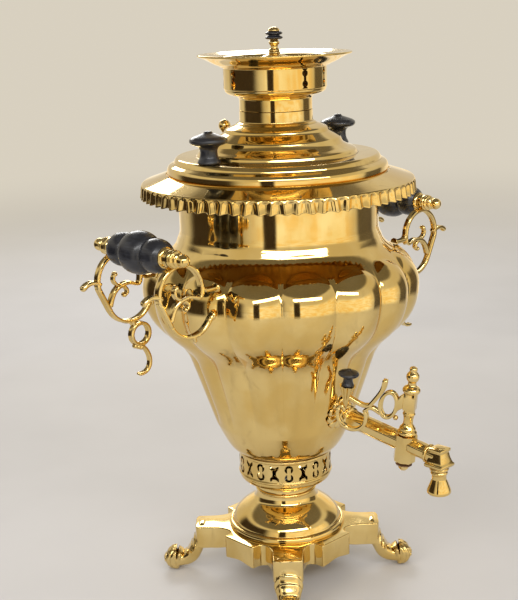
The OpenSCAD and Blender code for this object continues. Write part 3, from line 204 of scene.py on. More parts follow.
def refined(line: Profile, longest: float) -> Profile:
    """Divides the stretches of a line that are too long.

    Args:
        line: The line.
        longest: Longest stretch that may stay.

    Returns:
        The line with more points.
    """
    out = [line[0]]
    for (x0, y0), (x1, y1) in zip(line, line[1:]):
        parts = max(1, math.ceil(math.hypot(x1 - x0, y1 - y0) / longest))
        out += [(x0 + (x1 - x0) * k / parts, y0 + (y1 - y0) * k / parts) for k in range(1, parts + 1)]
    return out


# ---------------------------------------------------------------- shapes


def threaded(bm: Mesh, points: Iterable[Vector], closed: bool) -> tuple[list, list]:
    """Draws a line of edges.

    Args:
        bm: Mesh to draw in.
        points: Corners of the line.
        closed: Whether the line's end meets its start.

    Returns:
        The vertices and the edges.
    """
    verts = [bm.verts.new(p) for p in points]
    ends = verts[1:] + (verts[:1] if closed else [])
    return verts, [bm.edges.new(pair) for pair in zip(verts, ends)]


def turned(profile: Profile, steps: int = 96, closed: bool = False) -> Mesh:
    """Turns a profile on the lathe.

    Args:
        profile: Radius and height of each point.
        steps: Number of faces round the axis.
        closed: Whether the profile is a ring's section, whose end meets its start.

    Returns:
        The turned mesh, with closed poles.
    """
    bm = bmesh.new()
    verts, edges = threaded(bm, [Vector((r, 0, z)) for r, z in profile], closed)
    bmesh.ops.spin(bm, geom=verts + edges, cent=(0, 0, 0), axis=UP, angle=FULL_TURN,
                   steps=steps, use_merge=True, use_duplicate=False)
    bmesh.ops.remove_doubles(bm, verts=bm.verts, dist=MERGE)
    bmesh.ops.recalc_face_normals(bm, faces=bm.faces)
    return bm


def lathe(line: Profile, ease: float, bits: int, steps: int, closed: bool = False) -> Mesh:
    """Turns an outline whose corners are rounded first.

    Args:
        line: Radius and height of each corner.
        ease: Longest cut at a corner.
        bits: Number of stretches round a corner.
        steps: Number of faces round the axis.
        closed: Whether the outline is a ring's section.

    Returns:
        The turned mesh.
    """
    return turned(eased(line, ease, bits, closed), steps, closed)


def pulled(bm: Mesh, edges: list) -> tuple[list, list]:
    """Draws a new rim out of an old one, with faces between that have no width yet.

    Args:
        bm: The mesh.
        edges: Edges of the old rim.

    Returns:
        The new rim's vertices and edges.
    """
    made = bmesh.ops.extrude_edge_only(bm, edges=edges)["geom"]
    verts = [item for item in made if isinstance(item, bmesh.types.BMVert)]
    fresh = set(verts)
    return verts, [item for item in made if isinstance(item, bmesh.types.BMEdge) and set(item.verts) <= fresh]


FLUTED: Profile = [(-1, 0), (-0.96, -0.55), (-0.8, -1), (-0.6, -0.96), (-0.32, -0.62), (0, -0.55),
                   (0.32, -0.62), (0.6, -0.96), (0.8, -1), (0.96, -0.55), (1, 0), (0.96, 0.55),
                   (0.8, 1), (0.6, 0.96), (0.32, 0.62), (0, 0.55), (-0.32, 0.62), (-0.6, 0.96),
                   (-0.8, 1), (-0.96, 0.55)]


def swept(path: list[Vector], sizes: list[Point], section: Profile, across: Vector,
          closed: bool = False) -> Mesh:
    """Draws a section along a path that lies in a plane.

    Args:
        path: Points of the path.
        sizes: Half width across the plane and half thickness in it, for each point.
        section: Closed outline, one unit to each side.
        across: Direction square to the path's plane.
        closed: Whether the path's end meets its start.

    Returns:
        The mesh, with round ends where it is open.
    """
    stations = []
    count = len(path)
    for i, place in enumerate(path):
        last, following = (path[i - 1], path[(i + 1) % count]) if closed else (
            path[max(0, i - 1)], path[min(count - 1, i + 1)])
        stations.append((place, (following - last).normalized(), sizes[i], 1.0))
    if not closed:
        caps = ((0.93, 0.38), (0.72, 0.70), (0.4, 0.93))
        first, last = stations[0], stations[-1]
        start = [(first[0] - first[1] * first[2][1] * out, first[1], first[2], part) for part, out in caps]
        end = [(last[0] + last[1] * last[2][1] * out, last[1], last[2], part) for part, out in caps]
        stations = start[::-1] + stations + end
    frames = []
    for place, tangent, (wide, thick), part in stations:
        normal = tangent.cross(across)
        turn = Matrix((across * wide * part, normal * thick * part, tangent)).transposed().to_4x4()
        frames.append(Matrix.Translation(place) @ turn)
    bm = bmesh.new()
    verts, edges = threaded(bm, [Vector((u, v, 0)) for u, v in section], True)
    bmesh.ops.transform(bm, matrix=frames[0], verts=verts)
    if not closed:
        bm.faces.new(verts)
    if closed:
        frames.append(frames[0])
    for before, after in zip(frames, frames[1:]):
        verts, edges = pulled(bm, edges)
        bmesh.ops.transform(bm, matrix=after @ before.inverted(), verts=verts)
    if not closed:
        bmesh.ops.contextual_create(bm, geom=edges)
    bmesh.ops.remove_doubles(bm, verts=bm.verts, dist=MERGE)
    bmesh.ops.recalc_face_normals(bm, faces=bm.faces)
    return bm


def softened(bm: Mesh, ease: float, segments: int = 2, least: float = 28) -> Mesh:
    """Bevels the sharp edges of a mesh.

    Args:
        bm: The mesh.
        ease: Width of the bevel.
        segments: Number of faces across it.
        least: Smallest angle in degrees that counts as sharp.

    Returns:
        The same mesh.
    """
    edges = [e for e in bm.edges if e.calc_face_angle(0) > math.radians(least)]
    bmesh.ops.bevel(bm, geom=edges, offset=ease, offset_type="OFFSET", segments=segments, profile=0.5,
                    affect="EDGES", material=-1, clamp_overlap=True)
    return bm


def slab(outline: Profile, low: float, high: float, ease: float = 0.0) -> Mesh:
    """Extrudes an outline upwards.

    Args:
        outline: Closed outline.
        low: Height of its underside.
        high: Height of its top.
        ease: Width of the bevel round its edges.

    Returns:
        The mesh.
    """
    bm = bmesh.new()
    face = bm.faces.new([bm.verts.new((x, y, low)) for x, y in outline])
    made = bmesh.ops.extrude_face_region(bm, geom=[face])["geom"]
    verts = [item for item in made if isinstance(item, bmesh.types.BMVert)]
    bmesh.ops.translate(bm, verts=verts, vec=(0, 0, high - low))
    bmesh.ops.recalc_face_normals(bm, faces=bm.faces)
    return softened(bm, ease) if ease else bm


def prism(sides: int, width: float, low: float, high: float, ease: float) -> Mesh:
    """Makes an upright bar with flat sides.

    Args:
        sides: Number of sides.
        width: Width across two flats.
        low: Height of its foot.
        high: Height of its head.
        ease: Width of the bevel on its edges.

    Returns:
        The mesh.
    """
    bm = bmesh.new()
    radius = width / 2 / math.cos(math.pi / sides)
    bmesh.ops.create_cone(bm, segments=sides, radius1=radius, radius2=radius, depth=high - low, cap_ends=True,
                          matrix=Matrix.Translation((0, 0, (low + high) / 2)) @ Matrix.Rotation(
                              math.pi / sides, 4, "Z"))
    return softened(bm, ease)


def ribbon(path: list[Vector], width: float, start: float, end: float, across: Vector) -> Mesh:
    """Draws one fluted strip of a scroll, which thickens or thins evenly.

    Args:
        path: Points of its middle line.
        width: Its width.
        start: Its thickness at the start.
        end: Its thickness at the end.
        across: Direction square to the scroll's plane.

    Returns:
        The mesh.
    """
    n = len(path) - 1
    sizes = [(width / 2, (start + (end - start) * i / n) / 2) for i in range(n + 1)]
    return swept(path, sizes, FLUTED, across)


def ellipse(centre: Point, half: Point, lean: float, steps: int) -> Profile:
    """Points round an ellipse.

    Args:
        centre: Its centre.
        half: Half its width and half its height, before it leans.
        lean: Its lean in degrees.
        steps: Number of points.

    Returns:
        The points, the first one not repeated.
    """
    c, s = math.cos(math.radians(lean)), math.sin(math.radians(lean))
    turns = (FULL_TURN * k / steps for k in range(steps))
    line = [(half[0] * math.cos(a), half[1] * math.sin(a)) for a in turns]
    return [(centre[0] + x * c - y * s, centre[1] + x * s + y * c) for x, y in line]


def bead(radius: float, place: tuple, stretch: float = 1.0) -> Mesh:
    """Makes a bead at a place, which may be longer along Y than it is round.

    Args:
        radius: Its radius.
        place: Where its middle is.
        stretch: How many times as long as wide it is.

    Returns:
        The mesh.
    """
    bm = bmesh.new()
    bmesh.ops.create_uvsphere(bm, u_segments=24, v_segments=14, radius=radius)
    bmesh.ops.scale(bm, verts=bm.verts, vec=(1, stretch, 1))
    bmesh.ops.translate(bm, verts=bm.verts, vec=place)
    return bm


def round_drum(degrees: float, radius: float, height: float) -> Matrix:
    """Place of a cutter that pierces a drum from outside, in a direction and at a height."""
    return (Matrix.Rotation(math.radians(degrees + 90), 4, "Z")
            @ Matrix.Translation((0, -radius, height)) @ LYING)


def add_to(target: Mesh, shape: Mesh, place: Matrix = Matrix.Identity(4)) -> None:
    """Copies a mesh into another and frees it.

    Args:
        target: Mesh that grows.
        shape: Mesh that is used up.
        place: Where it goes.
    """
    carrier = bpy.data.meshes.new("carrier")
    shape.to_mesh(carrier)
    shape.free()
    carrier.transform(place)
    if place.is_negative:
        carrier.flip_normals()
    target.from_mesh(carrier)
    bpy.data.meshes.remove(carrier)


def as_object(shape: Mesh, name: str) -> bpy.types.Object:
    """Makes a passing object of a mesh and frees the mesh.

    Args:
        shape: The mesh.
        name: Name of the object.

    Returns:
        The object.
    """
    mesh = bpy.data.meshes.new(name)
    shape.to_mesh(mesh)
    shape.free()
    thing = bpy.data.objects.new(name, mesh)
    bpy.context.scene.collection.objects.link(thing)
    return thing


def pierced(shape: Mesh, cutters: Mesh) -> Mesh:
    """Cuts openings through a closed mesh.

    Args:
        shape: The mesh to cut.
        cutters: Closed meshes in the form of the openings.

    Returns:
        The cut mesh.
    """
    work, tool = as_object(shape, "work"), as_object(cutters, "tool")
    cut = work.modifiers.new("cut", "BOOLEAN")
    cut.operation = "DIFFERENCE"
    cut.solver = "EXACT"
    cut.object = tool
    result = work.evaluated_get(bpy.context.evaluated_depsgraph_get()).to_mesh()
    out = bmesh.new()
    out.from_mesh(result)
    for thing in (work, tool):
        mesh = thing.data
        bpy.data.objects.remove(thing)
        bpy.data.meshes.remove(mesh)
    bmesh.ops.remove_doubles(out, verts=out.verts, dist=MERGE)
    return out


def shaped(shape: Mesh, rule: Callable[[Vector], Vector]) -> Mesh:
    """Moves every vertex of a mesh by a rule and gives the same mesh back.

    Args:
        shape: The mesh.
        rule: Gives a vertex its new place.

    Returns:
        The same mesh.
    """
    for vert in shape.verts:
        vert.co = rule(vert.co)
    return shape


# ---------------------------------------------------------------- shader maths


class Value:
    """A number that varies over a surface, used in ordinary expressions."""

    def __init__(self, graph: "Graph", socket: bpy.types.NodeSocket) -> None:
        """Holds a socket of a graph."""
        self.graph = graph
        self.socket = socket

    def maths(self, operation: str, *others: "float | Value") -> "Value":
        """Adds a Math node that starts from this value."""
        return self.graph.get("ShaderNodeMath", {"operation": operation}, dict(enumerate((self, *others))))

    def __add__(self, other: "float | Value") -> "Value":
        """Sum."""
        return self.maths("ADD", other)

    __radd__ = __add__

    def __mul__(self, other: "float | Value") -> "Value":
        """Product."""
        return self.maths("MULTIPLY", other)

    __rmul__ = __mul__

    def __rsub__(self, other: float) -> "Value":
        """Difference from a plain number."""
        return self * -1.0 + other

    def ranged(self, low: float, high: float) -> "Value":
        """Maps low to high smoothly onto 0 to 1, and stays level outside."""
        return self.graph.get("ShaderNodeMapRange", {"interpolation_type": "SMOOTHSTEP"},
                              {0: self, 1: low, 2: high})


class Graph:
    """A material's nodes."""

    def __init__(self, name: str) -> None:
        """Starts a material with one Principled shader.

        Args:
            name: Name of the material.
        """
        self.material = bpy.data.materials.new(name)
        self.material.use_nodes = True
        self.tree = self.material.node_tree
        self.shader = next(n for n in self.tree.nodes if n.type == "BSDF_PRINCIPLED")

    def node(self, kind: str, settings: dict, inputs: dict) -> bpy.types.Node:
        """Adds a node.

        Args:
            kind: Type of the node.
            settings: Its settings, which are set first.
            inputs: A value or a link for each input, by name or number.

        Returns:
            The node.
        """
        made = self.tree.nodes.new(kind)
        for key, setting in settings.items():
            setattr(made, key, setting)
        for key, given in inputs.items():
            self.feed(made.inputs[key], given)
        return made

    def feed(self, socket: bpy.types.NodeSocket, given: "float | tuple | Value") -> None:
        """Links a value to a socket, or sets a constant on it.

        Args:
            socket: The socket.
            given: A value to link, or a constant.
        """
        if isinstance(given, Value):
            self.tree.links.new(given.socket, socket)
        else:
            socket.default_value = given

    def get(self, kind: str, settings: dict, inputs: dict, output: "int | str" = 0) -> Value:
        """Adds a node and gives one of its outputs."""
        return Value(self, self.node(kind, settings, inputs).outputs[output])

    def place(self) -> Value:
        """Object coordinates, in metres."""
        return self.get("ShaderNodeTexCoord", {}, {}, "Object")

    def noise(self, size: float, detail: float = 3.0, stretch: Point = (1.0, 1.0),
              warp: float = 0.0) -> Value:
        """Cloudy variation.

        Args:
            size: Size of its patches in millimetres.
            detail: Number of finer layers.
            stretch: How much closer the pattern is across and up.
            warp: How much it is distorted.

        Returns:
            A value from 0 to 1.
        """
        across, up = stretch
        seat = self.get("ShaderNodeMapping", {}, {0: self.place(), 3: (across, across, up)})
        return self.get("ShaderNodeTexNoise", {}, {"Vector": seat, "Scale": 1 / (size * MM), "Detail": detail,
                                                   "Distortion": warp}, "Fac")

    def mark(self, name: str) -> Value:
        """A per-vertex attribute of the piece."""
        return self.get("ShaderNodeAttribute", {"attribute_name": name}, {}, "Fac")

    def blend(self, factor: Value, low: "tuple | Value", high: "tuple | Value") -> Value:
        """Mixes two colours."""
        return self.get("ShaderNodeMix", {"data_type": "RGBA"}, {0: factor, 6: low, 7: high}, 2)

    def bump(self, height: Value, depth: float, normal: Optional[Value] = None) -> Value:
        """Bends the normal by a height of 0 to 1, with its depth in millimetres.

        Args:
            height: The height.
            depth: Its depth.
            normal: A normal that is bent already.

        Returns:
            The bent normal.
        """
        inputs = {"Height": height, "Distance": depth * MM, "Strength": 1.0}
        if normal is not None:
            inputs["Normal"] = normal
        return self.get("ShaderNodeBump", {}, inputs)

    def surface(self, inputs: dict) -> bpy.types.Material:
        """Feeds the shader's inputs, by name, and gives the finished material.

        Args:
            inputs: What each socket takes.

        Returns:
            The material.
        """
        for name, given in inputs.items():
            self.feed(self.shader.inputs[name], given)
        return self.material


def rgb(red: float, green: float, blue: float) -> tuple:
    """A linear colour."""
    return red, green, blue, 1.0


@dataclass(frozen=True)
class Brass:
    """Polished brass, with brown patina left in its recesses, and painted shade in the same dark brown on the
    downward faces of pieces that ask for it.
    """

    name: str = "brass_sheet"
    light: tuple = rgb(0.88, 0.66, 0.27)
    warm: tuple = rgb(0.79, 0.55, 0.18)
    tarnish: tuple = rgb(0.17, 0.085, 0.022)
    gloss: float = 0.05
    haze: float = 0.09
    waves: float = 0.10
    wave_size: float = 26.0
    grain: float = 0.004
    pits: float = 0.0

    def material(self) -> bpy.types.Material:
        """Makes the material.

        Returns:
            The material.
        """
        g = Graph(self.name)
        patch = g.noise(38, 3)
        smear = g.noise(9, 4, (1.0, 0.35), 0.6)
        speck = g.noise(1.6, 2)
        recess, ridge = g.mark("recess"), g.mark("ridge")
        # Dark brown in the hollows is patina; on pieces with painted underside shade it is also painted shade
        # on faces that point down.
        tarnish_and_underside_shade = (recess * (0.55 + smear * 0.9)).ranged(0.12, 0.95)
        film = smear.ranged(0.52, 0.80) * patch.ranged(0.42, 0.68)
        base = g.blend(patch.ranged(0.35, 0.65), self.warm, self.light)
        base = g.blend(film * 0.30, base, self.tarnish)
        base = g.blend(ridge * 0.35, base, self.light)
        base = g.blend(tarnish_and_underside_shade * 0.86, base, self.tarnish)
        rough = tarnish_and_underside_shade * 0.32 + film * self.haze + speck.ranged(0.35, 0.7) * 0.02 + self.gloss
        waved = g.bump(g.noise(self.wave_size, 1), self.waves)
        lines = g.bump(g.noise(0.9, 2, (0.05, 1.0)), self.grain, waved)
        if self.pits:
            lines = g.bump(g.noise(2.2, 4), self.pits, lines)
        return g.surface({"Base Color": base, "Roughness": rough, "Metallic": 1.0, "Normal": lines})


@dataclass(frozen=True)
class BlackWood:
    """Turned wood under black stain and polish, worn on its edges."""

    name: str = "black_wood"
    stain: tuple = rgb(0.009, 0.010, 0.015)
    pale: tuple = rgb(0.026, 0.029, 0.040)
    worn: tuple = rgb(0.060, 0.050, 0.048)

    def material(self) -> bpy.types.Material:
        """Makes the material.

        Returns:
            The material.
        """
        g = Graph(self.name)
        grain = g.noise(1.1, 4, (0.12, 1.0), 0.3)
        patch = g.noise(12, 3)
        wear = (g.mark("ridge") * (0.3 + patch)).ranged(0.25, 1.0)
        base = g.blend(grain.ranged(0.35, 0.7) * patch.ranged(0.3, 0.7), self.stain, self.pale)
        return g.surface({"Base Color": g.blend(wear * 0.6, base, self.worn),
                          "Roughness": 0.30 + patch.ranged(0.35, 0.7) * 0.16 + wear * 0.15,
                          "Coat Weight": 0.35, "Coat Roughness": 0.16, "Normal": g.bump(grain, 0.02)})


@dataclass(frozen=True)
class PlainMetal:
    """Unpolished metal: screws, the grate and the smoked tube."""

    name: str = "steel_screws"
    light: tuple = rgb(0.42, 0.41, 0.40)
    dark: tuple = rgb(0.16, 0.14, 0.12)
    metallic: float = 1.0
    rough: float = 0.38
    size: float = 7.0
    depth: float = 0.03

    def material(self) -> bpy.types.Material:
        """Makes the material.

        Returns:
            The material.
        """
        g = Graph(self.name)
        patch = g.noise(self.size, 4, (1.0, 0.5))
        speck = g.noise(self.size * 0.15, 3)
        mask = (patch * 0.7 + speck * 0.3).ranged(0.38, 0.62)
        return g.surface({"Base Color": g.blend(mask, self.dark, self.light),
                          "Roughness": self.rough + (1.0 - mask) * 0.25,
                          "Metallic": self.metallic, "Normal": g.bump(speck, self.depth)})


SHEET = Brass()
CAST = Brass("brass_cast", rgb(0.85, 0.65, 0.28), rgb(0.73, 0.52, 0.18), rgb(0.13, 0.065, 0.02),
             0.085, 0.14, 0.06, 11.0, 0.003, 0.012)
TURNED = Brass("brass_turned", rgb(0.88, 0.67, 0.29), rgb(0.79, 0.56, 0.19), rgb(0.14, 0.07, 0.02),
               0.06, 0.10, 0.02, 9.0, 0.006)
WOOD = BlackWood()
DULL = PlainMetal("brass_dull", rgb(0.36, 0.22, 0.08), rgb(0.035, 0.026, 0.018), 1.0, 0.42, 22.0, 0.04)
STEEL = PlainMetal()
IRON = PlainMetal("iron_grate", rgb(0.075, 0.066, 0.058), rgb(0.03, 0.024, 0.02), 0.6, 0.62, 5.0, 0.15)
FIBRE = PlainMetal("fibre_washers", rgb(0.22, 0.11, 0.05), rgb(0.09, 0.045, 0.02), 0.0, 0.68, 3.0, 0.05)


class Palette:
    """Hands out one material for each finish."""

    def __init__(self) -> None:
        """Starts with none made."""
        self.made: dict[str, bpy.types.Material] = {}

    def of(self, finish: "Brass | BlackWood | PlainMetal") -> bpy.types.Material:
        """The material of a finish, made on its first use.

        Args:
            finish: The finish.

        Returns:
            Its material.
        """
        if finish.name not in self.made:
            self.made[finish.name] = finish.material()
        return self.made[finish.name]


PALETTE = Palette()


# ---------------------------------------------------------------- pieces


def note_curvature(bm: Mesh, reach: float, passes: int = 2) -> None:
    """Writes how hollow and how proud each vertex lies.

    Args:
        bm: The finished mesh, in millimetres.
        reach: Radius of a fillet that counts as fully hollow.
        passes: Number of times the marks are spread to their neighbours.
    """
    bm.normal_update()
    levels = []
    for vert in bm.verts:
        total = 0.0
        for edge in vert.link_edges:
            way = edge.other_vert(vert).co - vert.co
            total += 2 * way.dot(vert.normal) / max(0.04, way.length_squared)
        levels.append(max(-1.0, min(1.0, total / max(1, len(vert.link_edges)) * reach)))
    bm.verts.index_update()
    around = [[e.other_vert(v).index for e in v.link_edges] for v in bm.verts]
    for _ in range(passes):
        levels = [0.5 * levels[i] + 0.5 * sum(levels[k] for k in ring) / len(ring) if ring else 0.0
                  for i, ring in enumerate(around)]
    # This mark holds hollowness; hand_over later adds painted shade on downward faces to it.
    recess = bm.verts.layers.float.new("recess")
    ridge = bm.verts.layers.float.new("ridge")
    for vert, level in zip(bm.verts, levels):
        vert[recess] = max(0.0, level)
        vert[ridge] = max(0.0, -level)


@dataclass
class Piece:
    """A piece in hand: its mesh, its finish, its body and the nodes it stands for."""

    name: str
    body: Body
    finish: "Brass | BlackWood | PlainMetal"
    nodes: tuple[str, ...]
    crease: float = 34.0
    reach: float = 1.3
    # Paints shade on faces that point down, in the dark brown of the hollows.
    dull_under: bool = False
    bm: Mesh = field(default_factory=bmesh.new)

    def add(self, shape: Mesh, place: Matrix = Matrix.Identity(4)) -> "Piece":
        """Adds a shape at a place, in millimetres, and gives the piece back."""
        add_to(self.bm, shape, place)
        return self

    def hand_over(self) -> bpy.types.Object:
        """Makes the finished object, in metres.

        Returns:
            The object, which rides on its body.
        """
        note_curvature(self.bm, self.reach)
        # Painted shade: faces that point down are marked as if hollow and take the dark brown.
        if self.dull_under:
            recess = self.bm.verts.layers.float["recess"]
            for vert in self.bm.verts:
                vert[recess] = max(vert[recess], ramp(-2.5 * vert.normal.z - 0.7))
        mesh = bpy.data.meshes.new(self.name)
        self.bm.to_mesh(mesh)
        self.bm.free()
        mesh.transform(Matrix.Scale(MM, 4))
        for face in mesh.polygons:
            face.use_smooth = len(face.vertices) < DISC_SIDES
        mesh.set_sharp_from_angle(angle=math.radians(self.crease))
        mesh.materials.append(PALETTE.of(self.finish))
        thing = bpy.data.objects.new(self.name, mesh)
        bpy.context.scene.collection.objects.link(thing)
        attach(thing, self.body.value)
        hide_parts(*self.nodes)
        LOG.info("%s: %d faces on %s", self.name, len(mesh.polygons), self.body.value)
        return thing


@dataclass
class Base:
    """The plate with its skirt, and the four feet."""

    plate_half: float = 62.0
    flat_half: float = 18.0
    corner_r: float = 84.0
    skirt_t: float = 2.5
    scallop: float = 2.4
    toe_r: float = 115.5
    leg_half: float = 13.0
    ankle_half: float = 8.6
    toe_half: float = 11.5
    toe_rise: float = 10.5
    column: float = 0.80
    column_rise: float = 1.2
    first_scale: float = 5.5
    scale_pitch: float = 8.2
    scales: int = 2
    scale_depth: float = 1.2
    rib_pitch: float = 4.4
    rib_depth: float = 0.9

    def outline(self) -> Profile:
        """The plate's outline: four flats, notches and blunt corners as wide as the leg below.

        Returns:
            Its points.
        """
        half, tip = self.plate_half, self.corner_r / math.sqrt(2)
        notch = curve((half - 6, self.flat_half + 0.4), (half - 14, self.flat_half + 1),
                      (half - 12, self.flat_half + 12), (half - 5, self.flat_half + 20), 10)
        side = ((self.corner_r - 1 + self.leg_half) / math.sqrt(2),
                (self.corner_r - 1 - self.leg_half) / math.sqrt(2))
        corner = curve((half - 5, self.flat_half + 20), (half - 2, self.flat_half + 23.4),
                       (side[0] - 2.4, side[1] - 2.6), side, 8)[:-3] + [side]
        corner += [((side[0] + tip) / 2 + 0.9, (side[1] + tip) / 2 + 0.6), (tip, tip)]
        eighth = [(half, self.flat_half)] + notch + corner[1:]
        quarter = eighth + [(y, x) for x, y in eighth[-2::-1]]
        out: Profile = []
        for k in range(4):
            c, s = round(math.cos(k * math.pi / 2)), round(math.sin(k * math.pi / 2))
            out += [(x * c - y * s, x * s + y * c) for x, y in quarter]
        smooth = eased(out, 2.4, 5, True)
        return refined(smooth + smooth[:1], 4.0)[:-1]

    def plate(self) -> Piece:
        """The plate: a rounded top edge and a skirt with a waved lower edge.

        Returns:
            The plate.
        """
        low, high = span("base_plate")
        line = [Vector((x, y, 0)) for x, y in self.outline()]
        count = len(line)
        inward = []
        for i, here in enumerate(line):
            along = (line[(i + 1) % count] - line[i - 1]).normalized()
            inward.append(Vector((-along.y, along.x, 0)))
        ease = [(0.9, 0.0), (0.45, 0.1), (0.12, 0.4), (0.0, 0.9)]
        drop = high.z - low.z
        levels = ease + [(0.0, drop * 0.4), (0.0, drop * 0.8), (0.0, drop - 0.5), (0.5, drop),
                         (self.skirt_t - 0.5, drop), (self.skirt_t, drop - 0.5), (self.skirt_t, 3.0)]
        bm = bmesh.new()
        verts, edges = threaded(bm, [p + n * levels[0][0] + UP * high.z for p, n in zip(line, inward)], True)
        bm.faces.new(verts)
        rings = [verts]
        for _ in levels[1:]:
            verts, edges = pulled(bm, edges)
            fresh = set(verts)
            rings.append([next(e.other_vert(v) for e in v.link_edges if e.other_vert(v) in fresh)
                          for v in rings[-1]])
        for ring, (offset, depth) in zip(rings, levels):
            for vert, here, n in zip(ring, line, inward):
                rise = self.wave(here) * ramp((depth - drop * 0.8) / (drop * 0.2 - 0.5))
                vert.co = here + n * offset + UP * (high.z - depth + rise)
        bmesh.ops.contextual_create(bm, geom=edges)
        bmesh.ops.recalc_face_normals(bm, faces=bm.faces)
        return Piece("plate_and_skirt", Body.URN, CAST, ("base_plate",), 40).add(bm)

    def wave(self, here: Vector) -> float:
        """Rise of the skirt's lower edge: a shallow arch on each flat side and one beside each tip.

        Args:
            here: A point of the outline.

        Returns:
            The rise.
        """
        along = min(abs(here.x), abs(here.y))
        flat = self.scallop * ramp(1 - abs(along) / self.flat_half)
        gap = (along - self.flat_half - 9) / 9
        return max(flat, self.scallop * 0.7 * ramp(1 - abs(gap)))

    def foot(self, name: str, angle: float) -> Piece:
        """One foot: a scaled column down the leg, a narrow ankle and a ribbed toe.

        Args:
            name: Node that the foot stands for.
            angle: Direction of its corner in degrees.

        Returns:
            The foot.
        """
        top = span(name)[1].z
        c, toe, half, rise = self.corner_r, self.toe_r, self.leg_half, self.toe_rise
        rows = [(c - 5.6, top, 4.4, half), (c - 5.3, top - 4, 4.4, half), (c - 4.7, top - 8, 4.6, half - 0.1),
                (c - 3.6, top - 13, 4.9, half - 0.3), (c - 1.8, top - 18, 5.3, half - 0.8),
                (c + 0.9, top - 23, 5.8, half - 1.6), (c + 4.6, 13.8, 6.3, half - 2.7),
                (c + 9.4, 10.7, 6.4, self.ankle_half + 0.5), (c + 13.6, 9.5, 6.0, self.ankle_half),
                (c + 16.6, 9.5, 6.7, self.ankle_half + 0.4), (c + 19.0, 9.8, 8.2, self.ankle_half + 1.3),
                (c + 20.8, rise - 0.1, 10.1, self.toe_half - 0.6)]
        for turn in (4, 20, 35, 50, 64, 76):
            a = math.radians(turn)
            rows.append((toe - rise - 1.9 + rise * math.sin(a), rise, rise * math.cos(a),
                         self.toe_half * math.cos(a) ** 0.22))
        dense = self.smooth_rows(rows, 7)
        path = [Vector((x, 0, z)) for x, z, _, _ in dense]
        sizes = [(wide, thick) for _, _, thick, wide in dense]
        section = [(math.copysign(abs(math.cos(a)) ** 0.7, math.cos(a)),
                    math.copysign(abs(math.sin(a)) ** 0.7, math.sin(a)))
                   for a in (FULL_TURN * k / 132 for k in range(132))]
        shape = swept(path, sizes, section, ACROSS)
        shaped(shape, lambda co: self.carve(co, top))
        spin = Matrix.Rotation(math.radians(angle), 4, "Z")
        return Piece(name + "_cast", Body.URN, CAST, (name,), 60).add(shape, spin)

    @staticmethod
    def smooth_rows(rows: list[tuple], steps: int) -> list[tuple]:
        """Fills in rows along a smooth curve through the given ones.

        Args:
            rows: The given rows.
            steps: Number of rows made of each.

        Returns:
            The close rows.
        """
        out = []
        for i in range(len(rows) - 1):
            p = [rows[max(0, i - 1)], rows[i], rows[i + 1], rows[min(len(rows) - 1, i + 2)]]
            for k in range(steps):
                t = k / steps
                out.append(tuple(0.5 * (2 * p[1][j] + (p[2][j] - p[0][j]) * t
                                        + (2 * p[0][j] - 5 * p[1][j] + 4 * p[2][j] - p[3][j]) * t * t
                                        + (3 * p[1][j] - p[0][j] - 3 * p[2][j] + p[3][j]) * t ** 3)
                                 for j in range(4)))
        return out + [rows[-1]]

    def carve(self, co: Vector, top: float) -> Vector:
        """Raises the column and its scales on the leg, and cuts the ribs of the toe.

        Args:
            co: A point of the plain foot.
            top: Height of the leg's top.

        Returns:
            Its place.
        """
        out = self.scaled(co, top)
        away = ramp((co.x - (self.toe_r - 14.5)) / 3)
        if away > 0:
            around = abs(co.y) + 0.75 * (self.toe_r - co.x)
            groove = 0.5 - 0.5 * math.cos(FULL_TURN * around / self.rib_pitch)
            inwards = Vector((self.toe_r - 11 - co.x, -co.y, self.toe_rise - co.z)).normalized()
            out += inwards * self.rib_depth * away * groove
        out.z = max(0.0, out.z)
        return out

    def scaled(self, co: Vector, top: float) -> Vector:
        """Gives a point of the plain leg its place on the column and its scales.

        Args:
            co: The point.
            top: Height of the leg's top.

        Returns:
            Its place.
        """
        share = max(-1.0, min(1.0, co.y / self.leg_half))
        behind = max(0.0, self.corner_r - 1.2 + 0.31 * (top - co.z) - co.x)
        depth = top - co.z
        outwards = Vector((math.sqrt(1 - share * share), share, 0))
        end = self.first_scale + self.scale_pitch * self.scales
        fade = ramp((end + 4.5 - depth) / 4.5) * ramp((self.corner_r + 11 - co.x) / 4)
        lift = self.column_rise * ramp((self.column - abs(share)) / 0.3) * ramp((4 - behind) / 3)
        along = depth - self.first_scale - 3.6 * share * share - 2.5 * behind
        if 0 < along < self.scale_pitch * self.scales:
            saw = (along / self.scale_pitch) % 1.0
            lift += self.scale_depth * (1 - saw) * ramp(saw / 0.09)
        return co + outwards * lift * fade * (1 if depth > 0.5 else 0)

    def build(self) -> list[Piece]:
        """Makes the plate and the feet."""
        feet = {"foot_front_left": 225, "foot_front_right": 315, "foot_back_left": 135, "foot_back_right": 45}
        return [self.plate()] + [self.foot(name, angle) for name, angle in feet.items()]


